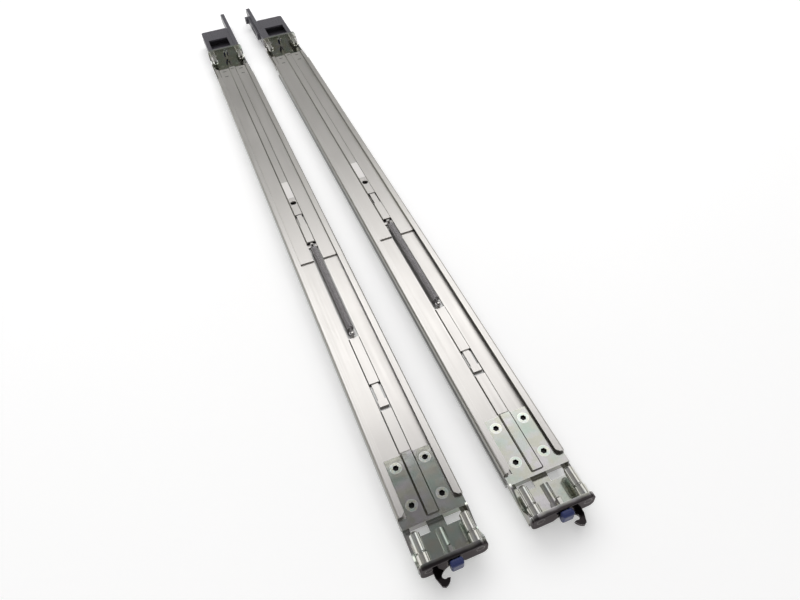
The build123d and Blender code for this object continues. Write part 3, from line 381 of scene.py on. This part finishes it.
print("kinds of sockets", list(SOCKET_KINDS))

# %% [markdown]
# Cold-rolled and galvanised sheet carries fine streaks along the direction it was rolled in. They
# show on the channel, the slides and the plated brackets, only weaker or stronger. An image could
# hold them, but it would need unwrapped parts and would repeat. A noise whose vector is squeezed
# along y gives streaks that never repeat and always follow the rail. A second, broad noise adds
# cloudy patches.

# %% Streaks left by the rolling mill
CLOUD_SCALE = 28.0
CLOUD_DETAIL = 4.0


def squeezed_along(group, share):
    """The object's coordinates with their y part made smaller."""
    place = group.nodes.new("ShaderNodeTexCoord")
    shares = group.nodes.new("ShaderNodeCombineXYZ")
    shares.inputs["X"].default_value = 1
    shares.inputs["Z"].default_value = 1
    group.links.new(share, shares.inputs["Y"])
    product = group.nodes.new("ShaderNodeVectorMath")
    product.operation = "MULTIPLY"
    group.links.new(place.outputs["Object"], product.inputs[0])
    group.links.new(shares.outputs[0], product.inputs[1])
    return product.outputs[0]


def rolling_marks_group():
    """Fine streaks along the rail's length, and broad clouds."""
    group, start, end = new_group(
        "rolling_marks",
        [("Fineness", "value", 900.0), ("Stretch", "value", 0.012), ("Detail", "value", 3.0)],
        [("Streaks", "value"), ("Clouds", "value")],
    )
    along = squeezed_along(group, start.outputs["Stretch"])
    streaks = add_noise(group, start.outputs["Fineness"], start.outputs["Detail"], along)
    group.links.new(streaks, end.inputs["Streaks"])
    group.links.new(add_noise(group, CLOUD_SCALE, CLOUD_DETAIL), end.inputs["Clouds"])
    return group


ROLLING_MARKS = rolling_marks_group()
print("group", ROLLING_MARKS.name)

# %% [markdown]
# Cut and bent edges lose some of their finish and look a little darker or brighter than the flat.
# The wear could be painted edge by edge. A Bevel node finds every edge by itself: it gives the
# normal of an edge as if it were round, and where that differs from the true normal there is an
# edge. A noise breaks the line up, since no edge wears evenly.

# %% Worn edges
WEAR_SAMPLES = 4
WEAR_CONTRAST = 9.0


def edge_wear_group():
    """A mask that is 1 on sharp edges and 0 on flats, broken up by a noise."""
    group, start, end = new_group(
        "edge_wear",
        [("Width", "value", 0.4 * MM), ("Breakup", "value", 220.0)],
        [("Edge", "value")],
    )
    bevel = group.nodes.new("ShaderNodeBevel")
    bevel.samples = WEAR_SAMPLES
    group.links.new(start.outputs["Width"], bevel.inputs["Radius"])
    geometry = group.nodes.new("ShaderNodeNewGeometry")
    dot = group.nodes.new("ShaderNodeVectorMath")
    dot.operation = "DOT_PRODUCT"
    group.links.new(bevel.outputs[0], dot.inputs[0])
    group.links.new(geometry.outputs["Normal"], dot.inputs[1])
    turned = add_math(group, "SUBTRACT", 1.0, dot.outputs["Value"])
    strong = add_math(group, "MULTIPLY", turned, WEAR_CONTRAST)
    broken = add_math(group, "MULTIPLY", strong, add_noise(group, start.outputs["Breakup"]))
    group.links.new(add_math(group, "MINIMUM", broken, 1.0), end.inputs["Edge"])
    return group


EDGE_WEAR = edge_wear_group()
print("group", EDGE_WEAR.name)

# %% [markdown]
# Bright zinc is passivated in a bath that leaves a very thin film. It tints the plating pale green
# and yellow in soft patches, which is plain to see on the end brackets in the photograph. The bar
# across the very front is painted dark violet-brown: a painted dark reflection, standing in for the
# dark surroundings that its front face mirrors. Two noises make the patches, so the same group
# dresses brackets, screws and pins without a painted image, and one input says where along y the
# painted dark reflection ends.

# %% Tint of the passivation film, and a painted dark reflection on the front bar
PATCH_EDGES = (0.42, 0.62)
YELLOW_FINER = 2.3
YELLOW_DETAIL = 3.0
REFLECTION_EDGE = 3.6 * MM
RAGGED_EDGES = (0.6, 1.3)


# Mask for the painted dark reflection on the front bar, which stands in for the dark surroundings it
# mirrors.
def painted_reflection_mask(group, reflection_end, noise):
    """1 in front of a place along y, with an edge that a noise breaks up."""
    ahead = add_math(group, "SUBTRACT", reflection_end, axis_of(group, "Object", "Y"))
    share = add_math(group, "MULTIPLY", ahead, 1 / REFLECTION_EDGE)
    return add_ramp(group, add_math(group, "ADD", share, noise), *RAGGED_EDGES)


def passivation_group():
    """A colour that wanders between clear, green and yellow, with a painted dark reflection on the
    front bar.
    """
    group, start, end = new_group(
        "passivation_film",
        [
            ("Clear", "colour", (0.7, 0.7, 0.7)),
            ("Green", "colour", (0.55, 0.68, 0.58)),
            ("Yellow", "colour", (0.72, 0.68, 0.5)),
            ("Painted Reflection", "colour", (0.2, 0.18, 0.18)),
            ("Painted Reflection Front", "value", 0.0),
            ("Patch Scale", "value", 45.0),
        ],
        [("Tint", "colour")],
    )
    broad = add_noise(group, start.outputs["Patch Scale"])
    finer = add_math(group, "MULTIPLY", start.outputs["Patch Scale"], YELLOW_FINER)
    fine = add_noise(group, finer, YELLOW_DETAIL)
    tint = start.outputs["Clear"]
    for noise, film in ((broad, "Green"), (fine, "Yellow")):
        tint = add_mix(group, add_ramp(group, noise, *PATCH_EDGES), tint, start.outputs[film])
    # Painted dark reflection: the front bar's colour stands in for the dark surroundings it mirrors.
    painted_reflection = painted_reflection_mask(group, start.outputs["Painted Reflection Front"], broad)
    group.links.new(add_mix(group, painted_reflection, tint, start.outputs["Painted Reflection"]), end.inputs["Tint"])
    return group


PASSIVATION = passivation_group()
print("group", PASSIVATION.name)

# %% [markdown]
# ## Metals
# All the metals share one recipe: a Principled shader that is fully metallic, a base colour, and a
# roughness that the streaks and clouds push up and down. An Anisotropic value would stretch the
# highlights as well, but it is the same all over; a Bump node fed by the streaks tilts the surface
# a little at each one, so they stay visible close up.

# %% A recipe for metal
RELIEF_DEPTH = 0.05 * MM


def feeding(shader, name):
    """The output that feeds one of the shader's inputs so far."""
    return shader.inputs[name].links[0].from_socket


def add_bump(tree, shader, height, strength, depth):
    """A Bump node on top of the relief that the shader has so far."""
    bump = tree.nodes.new("ShaderNodeBump")
    bump.inputs["Strength"].default_value = strength
    bump.inputs["Distance"].default_value = depth
    tree.links.new(height, bump.inputs["Height"])
    if shader.inputs["Normal"].is_linked:
        tree.links.new(feeding(shader, "Normal"), bump.inputs["Normal"])
    tree.links.new(bump.outputs["Normal"], shader.inputs["Normal"])


def colour_with_worn_edges(tree, shader, colour, edge_colour):
    """The base colour, and another on the edges."""
    edge = place_group(tree, EDGE_WEAR, {}).outputs["Edge"]
    tree.links.new(add_mix(tree, edge, colour, edge_colour), shader.inputs["Base Color"])


def metal(name, colour, edge_colour, roughness, streaks, clouds, bump=0.0, fineness=900.0):
    """A metal; streaks and clouds say how much the roughness wanders, None means no worn edges."""
    material, shader = new_material(name)
    tree = material.node_tree
    marks = place_group(tree, ROLLING_MARKS, {"Fineness": fineness})
    from_streaks = add_math(tree, "MULTIPLY", marks.outputs["Streaks"], streaks)
    from_clouds = add_math(tree, "MULTIPLY", marks.outputs["Clouds"], clouds)
    wander = add_math(tree, "ADD", from_streaks, from_clouds)
    level = add_math(tree, "ADD", wander, roughness - (streaks + clouds) / 2)
    tree.links.new(level, shader.inputs["Roughness"])
    shader.inputs["Metallic"].default_value = 1
    if edge_colour is None:
        shader.inputs["Base Color"].default_value = plain(colour)
    else:
        colour_with_worn_edges(tree, shader, colour, edge_colour)
    if bump:
        add_bump(tree, shader, marks.outputs["Streaks"], bump, RELIEF_DEPTH)
    return material


print("relief in mm", round(RELIEF_DEPTH / MM, 3))

# %% [markdown]
# The channel and the rear plate are galvanised strip: satin, a warm light grey, streaked along the
# rail. The slide members are plain cold-rolled steel, a little darker. The balls are polished all
# round and have no edge to wear, and the spring's wire is oiled. One metal could serve for all of
# them, but it is by their small differences that the eye tells one piece from the next.

# %% Sheet, balls and wire
GALVANISED = metal(
    "galvanised_sheet", (0.66, 0.64, 0.615), (0.80, 0.79, 0.77),
    roughness=0.34, streaks=0.22, clouds=0.10, bump=0.35,
)
SLIDE_STEEL = metal(
    "slide_steel_sheet", (0.46, 0.46, 0.45), (0.62, 0.62, 0.61),
    roughness=0.36, streaks=0.16, clouds=0.08, bump=0.3,
)
BALL_STEEL = metal(
    "polished_balls", (0.72, 0.72, 0.73), None, roughness=0.10, streaks=0.02, clouds=0.02
)
SPRING_STEEL = metal(
    "oiled_spring_wire", (0.52, 0.50, 0.51), (0.60, 0.59, 0.60),
    roughness=0.24, streaks=0.1, clouds=0.1, bump=0.1,
)
STEELS = (GALVANISED, SLIDE_STEEL, BALL_STEEL, SPRING_STEEL)
print("steels", [steel.name for steel in STEELS])

# %% [markdown]
# The channel's side walls, its cut lips and the flanks of its ribs are painted a dark olive grey:
# painted shade, since these faces turn away from the light that falls on the flat webs. A second
# material on those faces would do, but faces would have to be picked by hand. They all face
# sideways, so the x part of the object's own normal finds them: 0 on the flat webs, 1 on an upright
# wall.

# %% Paint shade on the side walls
# Painted shade for the faces that turn sideways, away from the light.
SIDE_WALL_SHADE = (0.30, 0.29, 0.255)
SIDEWAYS_RANGE = (0.35, 0.85)


def blend_in(material, mask, colour):
    """Lays another colour over the base colour where a mask is 1."""
    tree = material.node_tree
    shader = tree.nodes["Principled BSDF"]
    mixed = add_mix(tree, mask, feeding(shader, "Base Color"), colour)
    tree.links.new(mixed, shader.inputs["Base Color"])


def paint_sideways_shade(material, side_shade):
    """Blends a painted shade colour in where the surface faces left or right."""
    tree = material.node_tree
    sideways = add_math(tree, "ABSOLUTE", axis_of(tree, "Normal", "X"))
    blend_in(material, add_ramp(tree, sideways, *SIDEWAYS_RANGE), side_shade)


paint_sideways_shade(GALVANISED, SIDE_WALL_SHADE)
print("side walls", SIDE_WALL_SHADE)

# %% [markdown]
# The brackets are zinc plated and passivated: almost mirror bright, with the tinted film over the
# metal. A coat layer could carry the film, but its tint would be the same all over; the film's
# colour multiplies the reflection anyway, so it goes into the base colour. A grey specular tint
# keeps it dark at grazing angles too, where light crosses more of the film. Pressed plate is never
# quite flat either: a second, broad bump makes the reflections in it swim a little.

# %% Plated brackets
# The front bar's dark colour is a painted dark reflection, not a real film.
PAINTED_DARK_REFLECTION = (0.060, 0.052, 0.054)
PAINTED_DARK_REFLECTION_DEPTH = 13.2 * MM
BARE_ZINC = (0.86, 0.86, 0.84)
GRAZING_TINT = (0.58, 0.565, 0.565)
WAVE_STRENGTH = 0.6
WAVE_DEPTH = 0.5 * MM


def film_tint(tree, clear, green, yellow, patch_scale):
    """The film's colour over the surface, with a painted dark reflection on the front bar."""
    film = place_group(tree, PASSIVATION, {
        "Clear": clear,
        "Green": green,
        "Yellow": yellow,
        "Painted Reflection": PAINTED_DARK_REFLECTION,
        "Painted Reflection Front": cad_low.y + PAINTED_DARK_REFLECTION_DEPTH,
        "Patch Scale": patch_scale,
    })
    return film.outputs["Tint"]


def plated(name, clear, green, yellow, roughness, patch_scale):
    """Bright zinc below a tinted passivation film, bare on its worn edges."""
    material = metal(
        name, clear, BARE_ZINC, roughness, streaks=0.05, clouds=0.14, bump=0.12, fineness=500.0
    )
    tree = material.node_tree
    shader = tree.nodes["Principled BSDF"]
    worn = feeding(shader, "Base Color").node
    tree.links.new(film_tint(tree, clear, green, yellow, patch_scale), worn.inputs["A"])
    shader.inputs["Specular Tint"].default_value = plain(GRAZING_TINT)
    clouds = tree.nodes[ROLLING_MARKS.name].outputs["Clouds"]
    add_bump(tree, shader, clouds, WAVE_STRENGTH, WAVE_DEPTH)
    return material


ZINC_PLATE = plated(
    "passivated_zinc", (0.58, 0.56, 0.57), (0.47, 0.54, 0.48), (0.53, 0.53, 0.46),
    roughness=0.15, patch_scale=55.0,
)
ZINC_SCREW = plated(
    "plated_screws", (0.74, 0.75, 0.74), (0.62, 0.72, 0.65), (0.72, 0.72, 0.60),
    roughness=0.18, patch_scale=160.0,
)
BRIGHT_PIN = plated(
    "turned_pins", (0.76, 0.75, 0.72), (0.73, 0.76, 0.72), (0.76, 0.75, 0.68),
    roughness=0.15, patch_scale=90.0,
)
print("plated", [finish.name for finish in (ZINC_PLATE, ZINC_SCREW, BRIGHT_PIN)])

# %% [markdown]
# The sockets of the screws are painted near-black: painted shade for the deep hollows, where little
# light reaches. Small dark discs could stand in for it, but a mask by height follows the socket's
# real walls: it covers only the surfaces between the socket's mouth and its floor.

# %% Painted shade in the sockets
SOCKET_MOUTH = 0.3 * MM
SOCKET_FLOOR = 1.7 * MM
# Painted shade colour for the hollows of the sockets.
SOCKET_SHADE = (0.02, 0.02, 0.02)


def paint_shade_between(material, low, high):
    """Darkens a material between two heights, as painted shade."""
    tree = material.node_tree
    height = axis_of(tree, "Object", "Z")
    above = add_math(tree, "GREATER_THAN", height, low)
    below = add_math(tree, "LESS_THAN", height, high)
    blend_in(material, add_math(tree, "MULTIPLY", above, below), SOCKET_SHADE)


screw_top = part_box("left_front_screws")[1].z
paint_shade_between(ZINC_SCREW, screw_top - SOCKET_FLOOR, screw_top - SOCKET_MOUTH)
print("screw heads at z mm", round(screw_top / MM, 2))

# %% [markdown]
# ## Plastics and paper
# A mould that was cut by sparks leaves an even grain on plastic, and paper has its fibres. Both are
# too fine to model and have no direction, so one plain noise stands for them and each material
# only sets its scale.

# %% A fine grain


def fine_grain_group():
    """An even grain, the same in every direction."""
    group, start, end = new_group("fine_grain", [("Scale", "value", 1800.0)], [("Grain", "value")])
    group.links.new(add_noise(group, start.outputs["Scale"]), end.inputs["Grain"])
    return group


FINE_GRAIN = fine_grain_group()
print("group", FINE_GRAIN.name)

# %% [markdown]
# The push buttons are a blue-violet moulded plastic, the cable arm parts are near-black glass-filled
# plastic and the ball cages are pale nylon. Plastic is not metallic; its colour comes from inside.
# The metal recipe with Metallic at 0 would leave rolling streaks on it, so mouldings get a recipe
# of their own, with the grain in roughness and relief and with edges a little paler.

# %% Mouldings
GRAIN_SWING = 0.2
PALER_TIMES = 1.6
PALER_PLUS = 0.02
BUTTON_SPECULAR = 0.3


def grained(name, colour, roughness, scale, bump):
    """A dull, non-metallic surface with a fine grain."""
    material, shader = new_material(name)
    tree = material.node_tree
    grain = place_group(tree, FINE_GRAIN, {"Scale": scale}).outputs["Grain"]
    wander = add_math(tree, "MULTIPLY", grain, GRAIN_SWING)
    level = add_math(tree, "ADD", wander, roughness - GRAIN_SWING / 2)
    tree.links.new(level, shader.inputs["Roughness"])
    paler = tuple(min(1.0, channel * PALER_TIMES + PALER_PLUS) for channel in colour)
    colour_with_worn_edges(tree, shader, colour, paler)
    add_bump(tree, shader, grain, bump, RELIEF_DEPTH)
    return material


BUTTON_BLUE = grained("blue_button", (0.030, 0.040, 0.125), roughness=0.26, scale=2600.0, bump=0.15)
DARK_MOULDING = grained(
    "dark_moulding", (0.078, 0.075, 0.088), roughness=0.30, scale=1800.0, bump=0.25
)
CAGE_NYLON = grained("cage_nylon", (0.62, 0.61, 0.56), roughness=0.5, scale=1500.0, bump=0.1)
button_shader = BUTTON_BLUE.node_tree.nodes["Principled BSDF"]
button_shader.inputs["Specular IOR Level"].default_value = BUTTON_SPECULAR
print("mouldings", [finish.name for finish in (BUTTON_BLUE, DARK_MOULDING, CAGE_NYLON)])

# %% [markdown]
# ## Dressing
# Each solid arrives with an empty material named after its slot. The finishes could be handed out
# piece by piece; one table by slot is shorter, and a part added later in CAD only needs a slot name
# to be dressed.

# %% Dress the solids
FINISHES = {
    "galvanised_steel": GALVANISED,
    "slide_steel": SLIDE_STEEL,
    "zinc_plate": ZINC_PLATE,
    "bright_pin": BRIGHT_PIN,
    "zinc_screw": ZINC_SCREW,
    "ball_steel": BALL_STEEL,
    "spring_steel": SPRING_STEEL,
    "button_plastic": BUTTON_BLUE,
    "dark_plastic": DARK_MOULDING,
    "cage_plastic": CAGE_NYLON,
}


def dress(node_object):
    """Swaps the solid's empty material for its finish, and returns the slot's name."""
    slot_name = node_object.data.materials[0].name
    node_object.data.materials.clear()
    node_object.data.materials.append(FINISHES[slot_name])
    return slot_name


dressed = {name: dress(node_object) for name, node_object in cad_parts.items()}
print("dressed", len(dressed), "solids in", len(set(dressed.values())), "finishes")

# %% [markdown]
# Sheared and bent steel never has a knife edge. Each edge could be rounded in CAD, at the cost of
# many thin faces. A narrow Bevel modifier rounds every sharp edge of a solid at once, and the thin
# bright line that it makes is most of what tells the eye this is metal.

# %% Round the edges
BEVEL_WIDTHS = {
    "galvanised_steel": 0.22,
    "slide_steel": 0.15,
    "zinc_plate": 0.22,
    "bright_pin": 0.10,
    "zinc_screw": 0.08,
    "button_plastic": 0.15,
    "dark_plastic": 0.25,
}
BEVEL_ANGLE = math.radians(38)
BEVEL_SEGMENTS = 2


def round_edges(node_object, width):
    """A bevel on the sharp edges, with normals that keep the flats flat."""
    bevel = node_object.modifiers.new("rounded_edges", "BEVEL")
    bevel.width = width * MM
    bevel.segments = BEVEL_SEGMENTS
    bevel.limit_method = "ANGLE"
    bevel.angle_limit = BEVEL_ANGLE
    bevel.use_clamp_overlap = True
    bevel.harden_normals = True


to_round = [name for name, slot_name in dressed.items() if slot_name in BEVEL_WIDTHS]
for name in to_round:
    round_edges(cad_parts[name], BEVEL_WIDTHS[dressed[name]])
print("rounded", len(to_round))

# %% [markdown]
# ## The coil spring
# A tension spring draws the rear section forward, so the rail shortens to fit its rack. The solid
# model has a plain tube in its place. Here it is wound from wire: a helix for the coil, and a round
# hook at each end that goes over a finger bent up from the sheet. The Screw modifier could make the
# coil, but not the hooks, so the whole path of the wire is worked out point by point.

# %% Lay out the wire's path
SPRING_RADIUS = 3.0 * MM
WIRE_RADIUS = 0.45 * MM
COIL_TURNS = 84
STEPS_PER_TURN = 14
LOOP_RADIUS = 2.0 * MM
LOOP_STEPS = 16
LOOP_SWEEP = math.radians(330)
NECK_LENGTH = 2.6 * MM


def hook_points(axis_x, axis_z, centre_y, facing):
    """A flat round hook that ends on the spring's axis, on the coil's side."""
    points = []
    for i in range(LOOP_STEPS + 1):
        angle = LOOP_SWEEP * (1 - i / LOOP_STEPS)
        points.append(Vector((
            axis_x + LOOP_RADIUS * math.sin(angle),
            centre_y + facing * LOOP_RADIUS * math.cos(angle),
            axis_z,
        )))
    return points


def coil_points(axis_x, axis_z, start, end):
    """A helix round the spring's axis."""
    winding = SPRING_RADIUS - WIRE_RADIUS
    steps = COIL_TURNS * STEPS_PER_TURN
    points = []
    for i in range(steps + 1):
        angle = 2 * math.pi * i / STEPS_PER_TURN
        points.append(Vector((
            axis_x - winding * math.sin(angle),
            start + (end - start) * i / steps,
            axis_z + winding * math.cos(angle),
        )))
    return points


def spring_path(axis_x, axis_z, front, rear):
    """Points along the wire: front hook, coil, rear hook."""
    to_centre = LOOP_RADIUS + WIRE_RADIUS
    to_coil = 2 * LOOP_RADIUS + NECK_LENGTH
    front_hook = hook_points(axis_x, axis_z, front + to_centre, 1)
    rear_hook = hook_points(axis_x, axis_z, rear - to_centre, -1)
    coil = coil_points(axis_x, axis_z, front + to_coil, rear - to_coil)
    return front_hook + coil + list(reversed(rear_hook))


print("coil steps", COIL_TURNS * STEPS_PER_TURN)

# %% [markdown]
# A curve object with a bevel depth could turn the path into wire. Sweeping a ring of vertices along
# it gives the same skin with a face count of our own choice: seven sides look round on wire this
# thin. Each ring stands square to the path and takes its direction from the ring before it, so the
# wire doesn't twist.

# %% Sweep the wire
WIRE_SIDES = 7


def ring_directions(path):
    """For each point of a path, two directions square to it and to each other."""
    across = Vector((0, 0, 1))
    for i in range(len(path)):
        ahead = (path[min(i + 1, len(path) - 1)] - path[max(i - 1, 0)]).normalized()
        across = (across - ahead * across.dot(ahead)).normalized()
        yield across, ahead.cross(across)


def sweep_wire(work, path):
    """A round wire along a path of points, closed at both ends."""
    turns = [2 * math.pi * k / WIRE_SIDES for k in range(WIRE_SIDES)]
    rings = []
    for point, (across, aside) in zip(path, ring_directions(path)):
        rings.append([
            work.verts.new(point + WIRE_RADIUS * (math.cos(t) * across + math.sin(t) * aside))
            for t in turns
        ])
    for first, second in zip(rings, rings[1:]):
        for k in range(WIRE_SIDES):
            after = (k + 1) % WIRE_SIDES
            work.faces.new((first[k], second[k], second[after], first[after]))
    work.faces.new(rings[0])
    work.faces.new(reversed(rings[-1]))
    bmesh.ops.recalc_face_normals(work, faces=work.faces)
    for face in work.faces:
        face.smooth = True


print("sides of the wire", WIRE_SIDES)

# %% [markdown]
# The front hook stays on the rail, and the rear hook moves with the rear section. A stiff mesh could
# follow only one of them; here the wound wire is one stiff mesh, attached to neither body, and the
# plain tube is hidden.


def wind_spring(side):
    """One wound spring in place of the plain tube."""
    low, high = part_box(f"{side}_tension_spring")
    middle = (low + high) / 2
    path = spring_path(middle.x, middle.z, low.y, high.y)
    wire = mesh_object(f"{side}_wound_spring", lambda work: sweep_wire(work, path))
    wire.data.materials.append(SPRING_STEEL)
    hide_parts(f"{side}_tension_spring")
    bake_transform(wire)
    print(wire.name, "faces", len(wire.data.polygons), "length mm", round((high.y - low.y) / MM, 1))


for side in SIDES:
    wind_spring(side)

# %% [markdown]
# ## The paper label
# A small off-white paper label is stuck on the crest of the rear plate's middle rib. A colour mask
# on the plate could show it, but a thin sheet has a true edge and catches the light like paper. Its
# outline is a rectangle with an arc at each corner.

# %% Outline the label
CORNER_STEPS = 4


def rounded_outline(x0, x1, y0, y1, radius):
    """Corner points of a rounded rectangle, in order round it."""
    corners = (
        (x1 - radius, y1 - radius, 0),
        (x0 + radius, y1 - radius, 90),
        (x0 + radius, y0 + radius, 180),
        (x1 - radius, y0 + radius, 270),
    )
    points = []
    for cx, cy, first in corners:
        for k in range(CORNER_STEPS + 1):
            angle = math.radians(first + 90 * k / CORNER_STEPS)
            points.append((cx + radius * math.cos(angle), cy + radius * math.sin(angle)))
    return points


def thin_sheet(work, outline, low, high):
    """A flat sheet between two heights."""
    bottom = [work.verts.new((x, y, low)) for x, y in outline]
    top = [work.verts.new((x, y, high)) for x, y in outline]
    work.faces.new(top)
    work.faces.new(reversed(bottom))
    for k in range(len(outline)):
        after = (k + 1) % len(outline)
        work.faces.new((bottom[k], bottom[after], top[after], top[k]))


print("points on the outline", len(rounded_outline(0, 2, 0, 2, 1)))

# %% [markdown]
# The plate's box is higher than the rib, because a finger for the spring stands up from its front.
# So the crest's height is measured on the vertices behind the label's front end, and the label lies
# on the rib and moves with the rear section.

# %% Stick the labels on
LABEL_LENGTH = 25.6 * MM
LABEL_WIDTH = 6.2 * MM
LABEL_THICKNESS = 0.08 * MM
LABEL_CORNER = 0.8 * MM
LABEL_FROM_PLATE_FRONT = 88.6 * MM
LABEL_PAPER = grained("label_paper", (0.86, 0.83, 0.81), roughness=0.55, scale=3200.0, bump=0.1)


def crest_height(plate, beyond):
    """The highest point of a solid behind a place along y."""
    corners = (plate.matrix_world @ vertex.co for vertex in plate.data.vertices)
    return max(corner.z for corner in corners if corner.y > beyond)


def stick_label(side):
    """One label on the rib of the rear plate."""
    low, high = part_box(f"{side}_rear_plate")
    middle_x = (low.x + high.x) / 2
    front = low.y + LABEL_FROM_PLATE_FRONT
    half = LABEL_WIDTH / 2
    outline = rounded_outline(
        middle_x - half, middle_x + half, front, front + LABEL_LENGTH, LABEL_CORNER
    )
    level = crest_height(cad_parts[f"{side}_rear_plate"], front)
    label = mesh_object(
        f"{side}_bare_label",
        lambda work: thin_sheet(work, outline, level, level + LABEL_THICKNESS),
    )
    label.data.materials.append(LABEL_PAPER)
    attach(label, f"{side}_rear_section")
    print(label.name, "at y, z mm", round(front / MM, 1), round(level / MM, 2))


for side in SIDES:
    stick_label(side)
